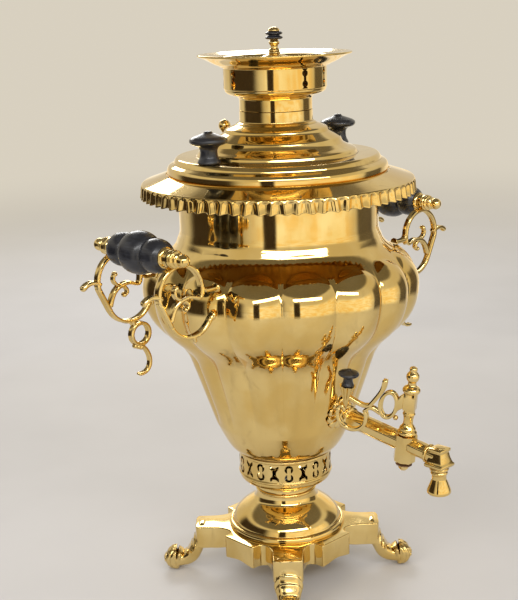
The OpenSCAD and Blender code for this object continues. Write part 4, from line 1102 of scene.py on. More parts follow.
@dataclass
class Stand:
    """The pedestal and the pierced blower above it."""

    neck_r: float = 25.0
    wall: float = 2.0
    lip_h: float = 6.0
    floor_rise: float = 8.0
    sheet: float = 1.2
    motifs: int = 10
    motif_h: float = 16.0
    motif_first: float = -131.0
    gap_share: float = 0.42

    def pedestal(self) -> Piece:
        """The domed pedestal, with a stepped foot and a beaded neck.

        Returns:
            The pedestal.
        """
        low, high = span("pedestal")
        r, h, z, lip = high.x, high.z - low.z, low.z, self.lip_h
        neck = self.neck_r
        outer = [(r, 0), (r, lip * 0.4), (r - 0.6, lip * 0.72), (r - 2.0, lip * 0.86), (r - 3.2, lip * 0.82),
                 (r - 3.7, lip)]
        outer += curve((r - 3.9, lip + 0.9), (r - 6.2, lip + 8.5), (r - 14, lip + 13.5),
                       (neck + 4.8, lip + 18.8), 24)
        outer += curve((neck + 4.8, lip + 18.8), (neck + 2.6, lip + 20.6), (neck + 1.8, h * 0.68),
                       (neck + 1.6, h * 0.77), 10)[1:]
        outer += arc((neck + 1.4, h * 0.8), 1.3, -60, 80, 8)
        outer += curve((neck + 1.0, h * 0.835), (neck + 0.4, h * 0.88), (neck + 0.6, h * 0.94),
                       (neck + 3.0, h), 10)
        inner = [(x - self.wall, y) for x, y in outer[::-1]]
        ring = [(x, y + z) for x, y in eased(outer + inner, 0.7, 3, True)]
        return Piece("pedestal_dome", Body.URN, SHEET, ("pedestal",)).add(turned(ring, 192, True))

    def crescent(self, flip: int) -> Mesh:
        """A cutter like an open ring, with its gap turned up or down.

        Args:
            flip: 1 with the gap below, -1 with the gap above.

        Returns:
            The cutter.
        """
        outer, inner = self.motif_h * 0.24, self.motif_h * 0.24 * self.gap_share
        start = math.degrees(math.acos(self.gap_share))
        outline = arc((0, 0), outer, -start, 180 + start, 28) + arc((0, 0), inner, 180, 0, 16)
        line = [(x, y * flip) for x, y in outline]
        return slab(line if flip > 0 else line[::-1], -CUTTER_REACH, CUTTER_REACH)

    def cross(self) -> Mesh:
        """A cutter like a cross with hollow sides.

        Returns:
            The cutter.
        """
        w, h, side, end = (self.motif_h * k for k in (0.25, 0.45, 0.32, 0.19))
        spread, reach = self.motif_h * 0.42, self.motif_h * 0.52
        tip = math.sqrt(end ** 2 - (reach - h) ** 2)
        low = math.degrees(math.acos((spread - w) / side))
        quarter = [(tip, h), (w, h)] + arc((spread, 0), side, 180 - low, 180, 8)
        right = quarter + [(x, -y) for x, y in quarter[-2::-1]]
        a = math.degrees(math.atan2(reach - h, tip))
        bottom = arc((0, -reach), end, a, 180 - a, 8)[1:-1]
        left = [(-x, y) for x, y in right[::-1]]
        top = arc((0, reach), end, 180 + a, 360 - a, 8)[1:-1]
        return slab((right + bottom + left + top)[::-1], -CUTTER_REACH, CUTTER_REACH)

    def blower(self) -> Piece:
        """The pierced band, between two beads over a bowl.

        Returns:
            The blower.
        """
        low, high = span("blower")
        r, h, z = high.x - 0.7, high.z - low.z, low.z
        rise = self.floor_rise
        outer = [(self.neck_r - 6, 0), (self.neck_r + 4, 0)]
        outer += curve((self.neck_r + 5, 0.2), (r - 4, 1), (r - 0.4, 3), (r, rise), 14)
        outer += [(r + 0.7, rise + 0.6), (r + 0.7, rise + 2), (r, rise + 2.6), (r, h - 2.6),
                  (r + 0.7, h - 2), (r + 0.7, h)]
        inner = [(r - self.sheet, h), (r - self.sheet, rise + 1), (r - 3.5, 4),
                 (self.neck_r + 2, self.sheet + 0.6), (self.neck_r - 6, self.sheet + 0.6)]
        ring = eased([(x, y + z) for x, y in outer + inner], 0.5, 3, True)
        cutters = bmesh.new()
        middle = z + rise + 2.6 + (h - rise - 5.2) / 2
        for k in range(self.motifs):
            for turn, shape, lift in ((k, self.crescent(1), 0.25), (k, self.crescent(-1), -0.25),
                                      (k + 0.5, self.cross(), 0.0)):
                add_to(cutters, shape, round_drum(self.motif_first + turn * 360 / self.motifs, r,
                                                  middle + lift * self.motif_h))
        band = pierced(turned(ring, 160, True), cutters)
        return Piece("pierced_blower", Body.URN, SHEET, ("blower",), 40, 0.6).add(band)

    def build(self) -> list[Piece]:
        """Makes the pedestal and the blower."""
        return [self.pedestal(), self.blower()]


@dataclass
class Urn:
    """The lobed body shell."""

    root_r: float = 61.4
    waist_r: float = 82.5
    belly_r: float = 121.0
    neck_r: float = 86.0
    lobes: int = 16
    lobe_depth: float = 5.6
    arch_drop: float = 14.0
    arch_edge: float = 3.6
    sheet: float = 1.2
    foot_r: float = 42.6
    fire_r: float = 38.0
    foot_h: float = 27.5
    waist_at: float = 0.39
    belly_at: float = 0.668
    arches_at: float = 0.79
    shoulder_at: float = 0.889
    steps_per_lobe: int = 28

    def __post_init__(self) -> None:
        """Takes the heights from the frame."""
        low, high = span("body_shell")
        self.z0, self.height = low.z, high.z - low.z
        self.bottom = self.z0 + self.foot_h
        self.waist, self.belly, self.top, self.shoulder = (
            self.z0 + share * self.height
            for share in (self.waist_at, self.belly_at, self.arches_at, self.shoulder_at))
        self.neck = high.z
        self.table = [(z, r) for r, z in self.crown_line()]

    def crown_line(self) -> Profile:
        """Outline over the crowns of the lobes, radius by height.

        Returns:
            The outline.
        """
        share = 0.36
        foot = curve((self.foot_r, self.z0), (50, self.z0 + 2), (53.5, self.z0 + 11),
                     (self.root_r, self.bottom), 12)
        bowl = curve((self.root_r, self.bottom),
                     (self.root_r + (self.waist_r - self.root_r) * share,
                      self.bottom + (self.waist - self.bottom) * share),
                     (self.waist_r - 6, self.waist - 17), (self.waist_r, self.waist), 16)
        flare = curve((self.waist_r, self.waist), (self.waist_r + 9.5, self.waist + 22),
                      (self.belly_r, self.belly - 39), (self.belly_r, self.belly), 26)
        crest = curve((self.belly_r, self.belly), (self.belly_r, self.belly + 28),
                      (self.neck_r, self.shoulder - 24), (self.neck_r, self.shoulder), 40)
        return foot + bowl[1:] + flare[1:] + crest[1:] + [(self.neck_r, self.neck)]

    def crease(self, z: float) -> float:
        """Depth of the creases at a height.

        Args:
            z: The height.

        Returns:
            The depth.
        """
        return self.lobe_depth * between(z, [
            (self.bottom, 0), (self.bottom + 14, 0.35), (self.waist, 0.6), (self.belly - 20, 1),
            (self.belly + 8, 1), (self.top, 0.75), (self.top + 13, 0)])

    def arch(self, share: float) -> float:
        """Height of a lobe's rounded head, by the share of the way to a crease."""
        return self.top - self.arch_drop * (1 - math.sqrt(max(0.0, 1 - share * share)))

    def skin(self, crown: float, z: float, share: float) -> float:
        """Radius of the outer skin.

        Args:
            crown: Radius over the crowns at this height.
            z: The height.
            share: Share of the way from a lobe's middle to a crease.

        Returns:
            The radius.
        """
        depth = self.crease(z)
        rise = ramp((self.arch(share) - z) / self.arch_edge)
        return crown - depth + depth * (1 - share * share) * rise

    def rows(self) -> Profile:
        """The crown line with close rows where the arches are.

        Returns:
            The outline.
        """
        near = self.top - 26
        heights = [z for z, _ in self.table if not near < z < self.top + 13]
        heights += [near + k * 1.3 for k in range(int((self.top + 13 - near) / 1.3) + 1)]
        heights += [self.z0 + 0.4 + k * (self.height - 12) / 60 for k in range(61)]
        heights.sort()
        kept = [heights[0]]
        for z in heights[1:]:
            if z - kept[-1] > 0.7 or z == heights[-1]:
                kept.append(z)
        return [(between(z, self.table), z) for z in kept]

    def lobed(self, co: Vector) -> Vector:
        """Gives a point of the plain turned shell its place on the lobed one.

        Args:
            co: The point.

        Returns:
            Its place.
        """
        angle = math.atan2(co.y, co.x)
        half = math.pi / self.lobes
        part = (angle / half) % 2
        share = 1 - abs(part - 2 if part > 1 else part)
        pull = between(co.z - self.top, [(-30, 0), (-22, 0.3), (-14, 0.65), (-8, 0.9), (-4, 1), (0, 1),
                                         (6, 0.6), (13, 0)])
        z = co.z - pull * (self.top - self.arch(share))
        crown = between(z, self.table)
        radius = self.skin(crown, z, share)
        return Vector((radius * math.cos(angle), radius * math.sin(angle), z))

    def shell(self) -> Piece:
        """The shell: lobed outside, plain inside, closed at its two edges.

        Returns:
            The shell.
        """
        rows = self.rows()
        steps = self.lobes * self.steps_per_lobe
        shape = shaped(turned(rows, steps), self.lobed)
        lining = [(max(self.fire_r + 3, r - self.crease(z) - self.sheet - (0.6 if z < self.bottom else 0)), z)
                  for r, z in rows[1::4]]
        lining = [(self.fire_r + 0.1, self.z0), (self.fire_r + 0.1, self.z0 + self.sheet)] + lining
        lining += [(self.neck_r - self.sheet, self.neck - 1), (self.neck_r - self.sheet, self.neck)]
        add_to(shape, turned(lining, steps))
        for height in (self.z0, self.neck):
            edges = [e for e in shape.edges if e.is_boundary and abs(e.verts[0].co.z - height) < 0.3]
            bmesh.ops.bridge_loops(shape, edges=edges)
        bmesh.ops.recalc_face_normals(shape, faces=shape.faces)
        return Piece("lobed_shell", Body.URN, SHEET, ("body_shell",), 50, 1.0).add(shape)

    def build(self) -> list[Piece]:
        """Makes the shell."""
        return [self.shell()]


@dataclass
class PleatedRing:
    """The cone on the neck, whose edge is folded into pleats."""

    ring_r: float = 116.6
    ring_t: float = 1.4
    neck_r: float = 86.0
    drop_r: float = 84.5
    sheet: float = 1.2
    seat_r: float = 96.0
    ring_z: float = 13.8
    seat_h: float = 19.0
    pleats: int = 72
    pleat_h: float = 12.2
    pleat_depth: float = 2.6
    steps_per_pleat: int = 12

    def __post_init__(self) -> None:
        """Takes the heights from the frame."""
        self.neck = span("body_shell")[1].z
        self.edge = self.neck + self.ring_z
        self.seat = self.neck + self.seat_h

    def section(self) -> Profile:
        """The ring's closed section, with the pleated skirt drawn plain.

        Returns:
            The section.
        """
        t, r, edge, seat, neck, drop = self.ring_t, self.ring_r, self.edge, self.seat, self.neck, self.drop_r
        foot = edge - self.pleat_h
        cone = refined([(self.seat_r, seat + t), (r - 1.6, edge + 0.15)], 1.2)
        outside = refined([(r + 0.1, edge - 1.4), (r - 0.6, foot + 0.5)], 0.8)
        inside = refined([(r - 1.7, foot + 0.5), (r - 2.6, edge - 2.6)], 0.8)
        return (eased([(drop - self.sheet, neck - 9), (drop - self.sheet, seat - 0.8),
                       (drop - self.sheet + 0.8, seat), (self.seat_r - 0.6, seat),
                       (self.seat_r, seat + t)], 0.4, 3)
                + cone[1:] + [(r - 0.7, edge - 0.1), (r - 0.1, edge - 0.6)] + outside
                + [(r - 0.9, foot + 0.05), (r - 1.4, foot + 0.05)] + inside
                + [(r - 4.0, edge - 2.3), (self.seat_r, seat - t), (drop + 2.2, seat - t),
                   (drop + 0.2, seat - t - 2), (drop + 0.2, neck + 2 * t), (self.neck_r + 1.6, neck + t),
                   (self.neck_r + 1.6, neck + 0.05), (drop, neck + 0.05), (drop, neck - 9)])

    def folded(self, co: Vector) -> Vector:
        """Folds the skirt: each pleat widens downwards and leans to one side or the other.

        Args:
            co: A point of the plain ring.

        Returns:
            Its place.
        """
        radius = math.hypot(co.x, co.y)
        if radius < self.ring_r - 6 or co.z < self.neck:
            return co
        fall = min(1.0, max(0.0, (self.edge - 0.4 - co.z) / (self.pleat_h - 0.8)))
        if fall <= 0:
            return co
        angle = math.atan2(co.y, co.x)
        turn = (angle / FULL_TURN * self.pleats) % self.pleats
        lean = 0.14 * (1 if int(turn) % 2 else -1)
        share = abs(turn - int(turn) - 0.5 - lean * (fall - 0.5))
        fold = 0.5 + 0.5 * math.cos(FULL_TURN * min(0.5, share))
        deep = self.pleat_depth * ramp(fall / 0.30)
        scale = (radius + deep * (fold - 0.62) + 1.6 * fall * fall) / radius
        drop = 1.0 * fall * fall * (1 - fold)
        return Vector((co.x * scale, co.y * scale, co.z + drop))

    def build(self) -> list[Piece]:
        """Makes the ring."""
        shape = shaped(turned(self.section(), self.pleats * self.steps_per_pleat, True), self.folded)
        # The last True paints shade on the ring's downward faces.
        return [Piece("ruffled_ring", Body.URN, SHEET, ("pleated_ring",), 42, 0.9, True).add(shape)]


def mushroom(r: float, h: float) -> Profile:
    """Outline of a turned black-wood knob.

    Args:
        r: Radius of its disc.
        h: Its height.

    Returns:
        The outline from its foot to its crown.
    """
    return ([(0, 0), (r * 0.5, 0), (r * 0.58, h * 0.02), (r * 0.6, h * 0.06), (r * 0.55, h * 0.12)]
            + curve((r * 0.48, h * 0.2), (r * 0.4, h * 0.4), (r * 0.44, h * 0.5), (r * 0.62, h * 0.56), 10)
            + curve((r * 0.82, h * 0.6), (r * 0.98, h * 0.63), (r * 1.03, h * 0.72), (r * 0.93, h * 0.78), 10)
            + curve((r * 0.8, h * 0.83), (r * 0.5, h * 0.9), (r * 0.3, h * 0.93), (r * 0.24, h * 0.95), 8)
            + [(r * 0.17, h), (0, h)])


@dataclass
class Lid:
    """The stepped lid, its two knobs and the steam vent."""

    rim_r: float = 94.5
    collar_r: float = 31.2
    collar_wall: float = 1.8
    tread_h: float = 15.4
    collar_h: float = 10.7
    skirt_h: float = 11.0
    skirt_r: float = 83.0
    sheet: float = 1.2
    knob_out: float = 78.0
    knob_r: float = 15.9
    vent_out: float = 65.0
    vent_rise: float = 11.5
    ball_r: float = 5.4

    def __post_init__(self) -> None:
        """Takes the heights from the frame."""
        low, high = span("lid")
        self.rim, self.head = low.z + self.skirt_h, high.z
        self.tread, self.collar = self.rim + self.tread_h, high.z - self.collar_h

    def lid(self) -> Piece:
        """The lid, in steps from its rim to the collar round the chimney.

        Returns:
            The lid.
        """
        z, t, c, r = self.rim, self.tread, self.collar, self.rim_r
        outer = [(r - 0.6, z), (r, z + 3.4), (r - 0.3, z + 6.4), (r - 1.6, z + 8.6), (r - 5.8, z + 10.6),
                 (r - 6.4, z + 12.4), (r - 7.6, t - 1), (r - 9, t), (69, t), (68.2, t + 1.2), (67.4, t + 3.6),
                 (66, t + 4.6), (61, t + 6.4), (56.4, t + 9.2), (55.2, t + 11.6), (54.4, t + 14),
                 (50, c - 10), (44.6, c - 7), (43.8, c - 4.6), (42.6, c - 3.6), (38, c - 1.8),
                 (34.4, c - 0.6), (33.6, c + 0.6), (self.collar_r, c + 1.4), (self.collar_r, self.head)]
        under = [(x - self.sheet * 0.6, y - self.sheet * 1.1) for x, y in outer[-3:3:-1]]
        inner = [(self.collar_r - self.collar_wall, self.head), (self.collar_r - self.collar_wall, c - 1)]
        skirt = [(r - 7.6, z + 9), (r - 7.8, z + 2), (self.skirt_r - self.sheet, z + 2),
                 (self.skirt_r - self.sheet, z - self.skirt_h), (self.skirt_r, z - self.skirt_h),
                 (self.skirt_r, z)]
        ring = eased(outer, 1.5, 5) + inner + under + skirt
        return Piece("stepped_lid", Body.LID, SHEET, ("lid",), 40, 1.6).add(turned(ring, 224, True))

    def knob(self, side: Side) -> Piece:
        """One black knob with a turned line round its disc.

        Args:
            side: Left or right.

        Returns:
            The knob.
        """
        name = "lid_knob_" + side.name.lower()
        low, high = span(name)
        h = high.z - low.z
        place = Matrix.Translation((side.value * self.knob_out, 0, low.z))
        return Piece(name + "_turned", Body.LID, WOOD, (name,), 40).add(
            lathe(mushroom(self.knob_r, h), 0.5, 3, 72), place)

    def vent(self) -> list[Piece]:
        """The vent's seat and its ball on a pin.

        Returns:
            The seat and the ball.
        """
        t, v = self.tread, self.tread + self.vent_rise
        hole = 3.4
        seat = lathe([(1.85, t - 4), (hole, t - 4), (hole, v - 4.4), (hole + 1.6, v - 3.8),
                      (hole + 1.6, v - 2), (hole, v - 0.8), (hole - 0.4, v), (1.85, v)], 0.5, 3, 48, True)
        low, high = span("vent_cap")
        foot = v + 0.3
        line = ([(0, low.z), (1.8, low.z), (1.8, foot), (3, foot), (3.1, foot + 1), (2.1, foot + 2)]
                + arc((0, foot + 2 * self.ball_r * 0.78), self.ball_r, -50, 60, 14)
                + [(1.6, foot + self.ball_r * 2.5), (0, high.z)])
        place = Matrix.Translation((0, self.vent_out, 0))
        return [Piece("vent_seat_ring", Body.LID, TURNED, ("vent_seat",)).add(seat, place),
                Piece("vent_ball", Body.VENT, TURNED, ("vent_cap",)).add(lathe(line, 0.4, 3, 48), place)]

    def build(self) -> list[Piece]:
        """Makes the lid with what rides on it."""
        return [self.lid(), self.knob(Side.LEFT), self.knob(Side.RIGHT)] + self.vent()


@dataclass
class Crown:
    """The pot ring, the cap on the chimney and the cap's knob."""

    dish_r: float = 65.0
    gallery_r: float = 43.6
    gallery_h: float = 18.0
    dish_h: float = 10.5
    socket_r: float = 31.2
    socket_in: float = 28.5
    socket_h: float = 9.5
    sheet: float = 1.2
    pairs: int = 3
    first: float = 156.0
    pair_half: float = 17.0
    knob_r: float = 7.4
    plug_in_r: float = 26.2
    plug_h: float = 7.0

    def __post_init__(self) -> None:
        """Takes the heights from the frame."""
        low, high = span("crown")
        self.foot, self.top = low.z, high.z
        self.gallery = high.z - self.gallery_h - self.dish_h
        self.dish = self.gallery + self.gallery_h

    def spindle(self) -> Mesh:
        """A cutter like a baluster: a waist between two bulbs, with flared ends.

        Returns:
            The cutter.
        """
        h = self.gallery_h
        half = ([(1.2, 0), (1.2, h * 0.09)] + arc((0, h * 0.24), h * 0.155, -40, 40, 8)
                + [(1.3, h * 0.36), (h * 0.15, h * 0.43), (h * 0.15, h * 0.45)])
        right = [(x, -y) for x, y in half[:0:-1]] + half
        return slab(right + [(-x, y) for x, y in right[::-1]], -CUTTER_REACH, CUTTER_REACH)

    def crown(self) -> Piece:
        """The crown: socket, gallery with openings and wide dish.

        Returns:
            The crown.
        """
        g, d, top, c = self.gallery, self.dish, self.top, self.foot
        gr, dr, cr = self.gallery_r, self.dish_r, self.socket_r
        under = ([(cr - 0.3, c), (cr - 0.3, c + self.socket_h), (cr + 0.6, c + self.socket_h + 1.4)]
                 + curve((cr + 2, g - 6.5), (gr - 4, g - 5.4), (gr - 0.6, g - 3.6), (gr - 0.6, g - 0.8), 12)
                 + [(gr, g), (gr, d - 1.2), (gr + 0.8, d - 0.4), (gr + 2.6, d)]
                 + curve((gr + 4, d + 1), (gr + 10, d + 2.8), (dr - 8, d + 6.4), (dr, top - 1.6), 12)
                 + [(dr + 0.3, top - 0.7), (dr - 0.2, top)])
        over = [(dr - 1.4, top - 0.1), (dr - 9, top - 1.4), (gr + 4, top - 2.4), (gr + 1, top - 2.8),
                (gr - 0.6, top - 3.8), (gr - self.sheet, top - 5.4), (gr - self.sheet, g),
                (gr - 1.9, g - 2.4), (gr - 5, g - 4.4), (cr + 2, g - 5), (self.socket_in + 0.6, g - 5.6),
                (self.socket_in, c + self.socket_h), (self.socket_in, c)]
        cutters = bmesh.new()
        for k in range(self.pairs):
            for side in Side:
                degrees = self.first + k * 360 / self.pairs + side.value * self.pair_half
                add_to(cutters, self.spindle(), round_drum(degrees, gr, g + self.gallery_h * 0.48))
        ring = pierced(lathe(under + over, 0.6, 4, 224, True), cutters)
        return Piece("pot_ring", Body.CROWN, SHEET, ("crown",), 40, 1.0).add(ring)

    def cap(self) -> list[Piece]:
        """The low cone on the chimney, its stem, its black knob and the brass tip.

        Returns:
            The four pieces.
        """
        low, high = span("chimney_cap")
        r, rim = high.x, low.z + self.plug_h
        rise = high.z - rim
        inner = self.plug_in_r - self.sheet
        cone = lathe([(0, high.z - self.sheet), (5, high.z - self.sheet), (inner, rim), (inner, low.z),
                      (self.plug_in_r, low.z), (self.plug_in_r, rim), (r - 0.4, rim), (r, rim + 0.5),
                      (r - 0.6, rim + 1.2), (r * 0.66, rim + rise * 0.36), (r * 0.4, rim + rise * 0.68),
                      (5, high.z), (0, high.z)], 0.8, 4, 160)
        z = span("cap_stem")[0].z
        stem = lathe([(0, z), (5, z), (5.2, z + 0.8), (4.4, z + 1.8), (4.9, z + 2.6), (4.2, z + 3.6),
                      (3.2, z + 4.4), (3, z + 6.4), (4, z + 7.6), (4.6, z + 8.8), (4.2, z + 10),
                      (3.2, z + 10.6), (3.6, z + 11.6), (0, z + 11.6)], 0.4, 3, 64)
        k, end = (corner.z for corner in span("cap_knob"))
        kr = self.knob_r
        knob = lathe([(0, k), (kr - 1.6, k), (kr, k + 0.9), (kr, k + 1.7), (kr - 1.6, k + 2.6),
                      (kr - 2.6, k + 2.9), (kr - 2.6, k + 3.5), (kr - 1.2, k + 3.8), (kr - 0.2, k + 4.6),
                      (kr - 0.2, k + 5.3), (kr - 1.8, end), (0, end)], 0.5, 4, 64)
        t = end + 0.05
        tip = lathe([(0, t), (4.6, t), (5, t + 0.7), (4.6, t + 1.5), (4, t + 2.3), (2.6, t + 3.2),
                     (1, t + 3.6), (0, t + 3.7)], 0.5, 4, 48)
        return [Piece("chimney_cone", Body.CAP, SHEET, ("chimney_cap",), 40).add(cone),
                Piece("cap_stem_turned", Body.CAP, TURNED, ("cap_stem",)).add(stem),
                Piece("cap_knob_turned", Body.CAP, WOOD, ("cap_knob",)).add(knob),
                Piece("cap_tip_turned", Body.CAP, TURNED, ("cap_tip",)).add(tip)]

    def build(self) -> list[Piece]:
        """Makes the crown and the cap."""
        return [self.crown()] + self.cap()


@dataclass
class Handles:
    """Two grips between scrolled brackets."""

    grip_x: float = 154.0
    grip_l: float = 62.0
    grip_r: float = 17.3
    boss_w: float = 8.0
    boss_r: float = 7.5
    band_w: float = 6.2
    scroll_t: float = 3.0
    ferrule_t: float = 3.0
    nut_h: float = 14.5
    rod_r: float = 2.5
    loop_r: float = 21.5
    loop_in: float = 6.5
    loop_drop: float = 28.0
    bowl_r: float = 23.2
    bowl_in: float = 16.0
    bowl_drop: float = 42.0
    upper_drop: float = 30.7
    lower_drop: float = 52.5
    tail_r: float = 10.6

    def __post_init__(self) -> None:
        """Takes the grip's height from the frame and works out the scrolls' centres."""
        low, high = span("grip_right")
        self.grip_z = (low.z + high.z) / 2
        self.bracket_y = self.grip_l / 2 + self.ferrule_t + self.boss_w / 2 + 0.1
        self.loop = (self.grip_x - self.loop_in, self.grip_z - self.loop_drop)
        self.bowl = (self.grip_x - self.bowl_in, self.grip_z - self.bowl_drop)
        self.upper_z = self.grip_z - self.upper_drop
        self.lower_z = self.grip_z - self.lower_drop
        self.tail = (self.bowl[0] - 9, self.bowl[1] - self.bowl_r - self.tail_r - 2.4)

    def band(self, line: Profile, start: float, end: float, width: float = 1.0) -> Mesh:
        """One scroll of a bracket.

        Args:
            line: Its middle line, out from the urn and up.
            start: Its thickness at the start.
            end: Its thickness at the end.
            width: Its width as a share of the bracket's.

        Returns:
            The mesh, standing in the plane of the bracket.
        """
        path = [Vector((x, 0, z)) for x, z in refined(line, 2.0)]
        return ribbon(path, self.band_w * width, start, end, ACROSS)

    def about(self, centre: Point, dx: float, dz: float) -> Point:
        """A point beside a centre."""
        return centre[0] + dx, centre[1] + dz

    def on(self, centre: Point, radius: float, degrees: float) -> Point:
        """A point on a circle."""
        a = math.radians(degrees)
        return centre[0] + radius * math.cos(a), centre[1] + radius * math.sin(a)

    def scrolls(self, tail: bool, upper_x: float, lower_x: float) -> list[Mesh]:
        """All scrolls of one bracket.

        Args:
            tail: Whether it has the long tail with a hook.
            upper_x: Where the upper arm ends on the urn.
            lower_x: Where the lower arm ends on the urn.

        Returns:
            The scrolls' meshes.
        """
        t, loop, bowl, lr, br = self.scroll_t, self.loop, self.bowl, self.loop_r, self.bowl_r
        near = self.about
        out = [
            self.band(arc(loop, lr, -16, 195, 60), t, t),
            self.band([self.on(loop, lr, -14), self.on(bowl, br, -28)], t * 1.1, t * 1.1),
            self.band(arc(bowl, br, -30, -146, 40), t, t),
            self.band(curve(self.on(loop, lr, 192), near(loop, -19.5, -10), near(loop, -16, -5.6),
                            near(loop, -8, -4.6), 14)
                      + curve(near(loop, -6, -4.8), near(loop, 2, -6), near(loop, 7, -8),
                              near(loop, 10.5, -20.5), 16), t * 0.9, t),
            self.band(curve(near(loop, -1, -6), near(loop, -8, -7.5), near(loop, -9.5, -13.5),
                            near(loop, -4.5, -14), 12), t * 0.9, t * 0.6, 0.8),
            self.band(curve(near(loop, -2, -5.6), near(loop, 5, -5.5), near(loop, 8.5, 1.5),
                            near(loop, 4, 4.6), 12), t * 0.9, t * 0.6, 0.8),
            self.band(curve(near(loop, lr - 2, -1), near(loop, lr + 5, 3), near(loop, lr + 10, 2),
                            near(loop, lr + 14.2, -1.6), 14), t, t * 1.1),
            self.band(curve(self.on(loop, lr, 176), near(loop, -23, -3), near(loop, -27, -2.7),
                            (loop[0] - 30, self.upper_z), 12) + [(upper_x + 1.2, self.upper_z)], t, t),
            self.band([self.on(bowl, br, -146), (lower_x + 1.2, self.lower_z)], t, t),
            self.band([near(bowl, -1, -br), near(bowl, -2.5, -br - 4)], t, t)]
        for x, z in (near(loop, -4.5, -14), near(loop, 4, 4.6), near(loop, lr + 14.2, -1.8)):
            out.append(bead(t * 0.72, (x, 0, z), 1.45))
        return out + (self.tail_scrolls() if tail else [])

    def tail_scrolls(self) -> list[Mesh]:
        """The oval ring, its beads and the hook.

        Returns:
            Their meshes.
        """
        t, r, centre = self.scroll_t, self.tail_r, self.tail
        middle = r - t / 2
        ring = [Vector((x, 0, z)) for x, z in ellipse(centre, (middle, middle), 0, 56)]
        out = [swept(ring, [(self.band_w / 2, t / 2)] * len(ring), FLUTED, ACROSS, True)]
        out += [bead(2.1, (centre[0] + 6 - 3 * k, 0, centre[1] - r + 1 - 1.2 * k), 1.3) for k in range(3)]
        hook = curve(self.about(centre, 0, -r + 0.6), self.about(centre, -12, -r - 8),
                     self.about(centre, -12, -r - 26), self.about(centre, 3.5, -r - 24), 30)
        out.append(self.band(hook, t, t * 0.8, 0.8))
        return out

    def bracket(self, side: Side, row: int, tail: bool) -> Piece:
        """One bracket: scrolls, the boss round the rod and the two pads.

        Args:
            side: Left or right.
            row: -1 in front of the grip, 1 behind it.
            tail: Whether it has the long tail.

        Returns:
            The bracket.
        """
        name = f"bracket_{side.name.lower()}_{'front' if row < 0 else 'back'}"
        flip = Matrix.Scale(-1, 4, Vector((1, 0, 0))) if side is Side.LEFT else Matrix.Identity(4)
        place = flip @ Matrix.Translation((0, row * self.bracket_y, 0))
        upper_x, lower_x = self.pads(name)
        piece = Piece(name + "_scrolls", Body.URN, CAST, (name,), 48, 0.9)
        for shape in self.scrolls(tail, upper_x, lower_x):
            piece.add(shape, place)
        w = self.boss_w / 2
        boss = lathe([(self.rod_r + 0.05, -w), (self.boss_r - 1.4, -w), (self.boss_r, -w + 1.2),
                      (self.boss_r - 0.7, 0), (self.boss_r, w - 1.2), (self.boss_r - 1.4, w),
                      (self.rod_r + 0.05, w)], 0.7, 4, 56, True)
        piece.add(boss, place @ Matrix.Translation((self.grip_x, 0, self.grip_z)) @ LYING)
        for x, z in ((upper_x, self.upper_z), (lower_x, self.lower_z)):
            pad = lathe([(0, 0), (4, 0), (4, 1.2), (3.2, 2.2), (0, 2.2)], 0.5, 3, 40)
            piece.add(pad, place @ Matrix.Translation((x, 0, z)) @ Matrix.Rotation(math.pi / 2, 4, "Y"))
        return piece

    def pads(self, name: str) -> tuple[float, float]:
        """Distance of the two pads from the middle plane, read off the bracket's own node.

        Args:
            name: Name of the bracket's node.

        Returns:
            The upper pad's distance and the lower one's.
        """
        mesh = frame["nodes"][name].data
        out = []
        for z in (self.upper_z, self.lower_z):
            rim = [abs(v.co.x) / MM for v in mesh.vertices
                   if 3.4 < math.hypot(v.co.z / MM - z, abs(v.co.y) / MM - self.bracket_y) < 4.1]
            out.append(min(rim))
        return out[0], out[1]

    def at_grip(self, side: Side, end: int = 1) -> Matrix:
        """Place of a turned part whose axis is the rod's, counted from the grip's middle."""
        flip = Matrix.Scale(-1, 4, UP) if end < 0 else Matrix.Identity(4)
        return Matrix.Translation((side.value * self.grip_x, 0, self.grip_z)) @ LYING @ flip

    def grip(self, side: Side) -> Piece:
        """The black grip, turned in three swells with grooves between.

        Args:
            side: Left or right.

        Returns:
            The grip.
        """
        r, length = self.grip_r, self.grip_l
        half = (curve((r, 0), (r, length * 0.1), (r * 0.9, length * 0.165), (r * 0.66, length * 0.205), 14)
                + curve((r * 0.66, length * 0.215), (r * 0.84, length * 0.25), (r * 0.84, length * 0.43),
                        (r * 0.6, length * 0.475), 18) + [(r * 0.5, length * 0.5)])
        bore = self.rod_r + 0.05
        ring = [(bore, -length / 2)] + [(x, -z) for x, z in half[:0:-1]] + half + [(bore, length / 2)]
        name = "grip_" + side.name.lower()
        return Piece(name + "_turned", Body.URN, WOOD, (name,), 50).add(
            lathe(ring, 0.5, 3, 80, True), self.at_grip(side))

    def fittings(self) -> list[Piece]:
        """The ferrules beside the grips and the finial nuts on the rods' ends.

        Returns:
            The ferrules and the nuts.
        """
        ferrules = Piece("grip_ferrule_rings", Body.URN, TURNED, ("grip_ferrules",))
        nuts = Piece("grip_finial_nuts", Body.URN, TURNED, ("grip_nuts",), 40)
        t, h, bore = self.ferrule_t, self.nut_h, self.rod_r + 0.05
        start, last = self.grip_l / 2 + 0.05, self.bracket_y + self.boss_w / 2 + 0.05
        ring = [(bore, 0), (8.4, 0), (8.6, 1), (7.6, t - 0.6), (6.6, t), (bore, t)]
        finial = ([(0, 0), (6.8, 0), (7.2, 0.8), (6.6, 1.9), (4.6, 2.6), (4.3, 3.4), (5.6, 4.4), (5.6, 5.2),
                   (4.2, 6)]
                  + arc((0, h - 5.2), 5.2, -38, 78, 14) + [(0, h)])
        for side in Side:
            for end in (-1, 1):
                seat = self.at_grip(side, end)
                ferrules.add(lathe(ring, 0.4, 3, 56, True), seat @ Matrix.Translation(UP * start))
                nuts.add(lathe(finial, 0.4, 3, 56), seat @ Matrix.Translation(UP * last))
        return [ferrules, nuts]

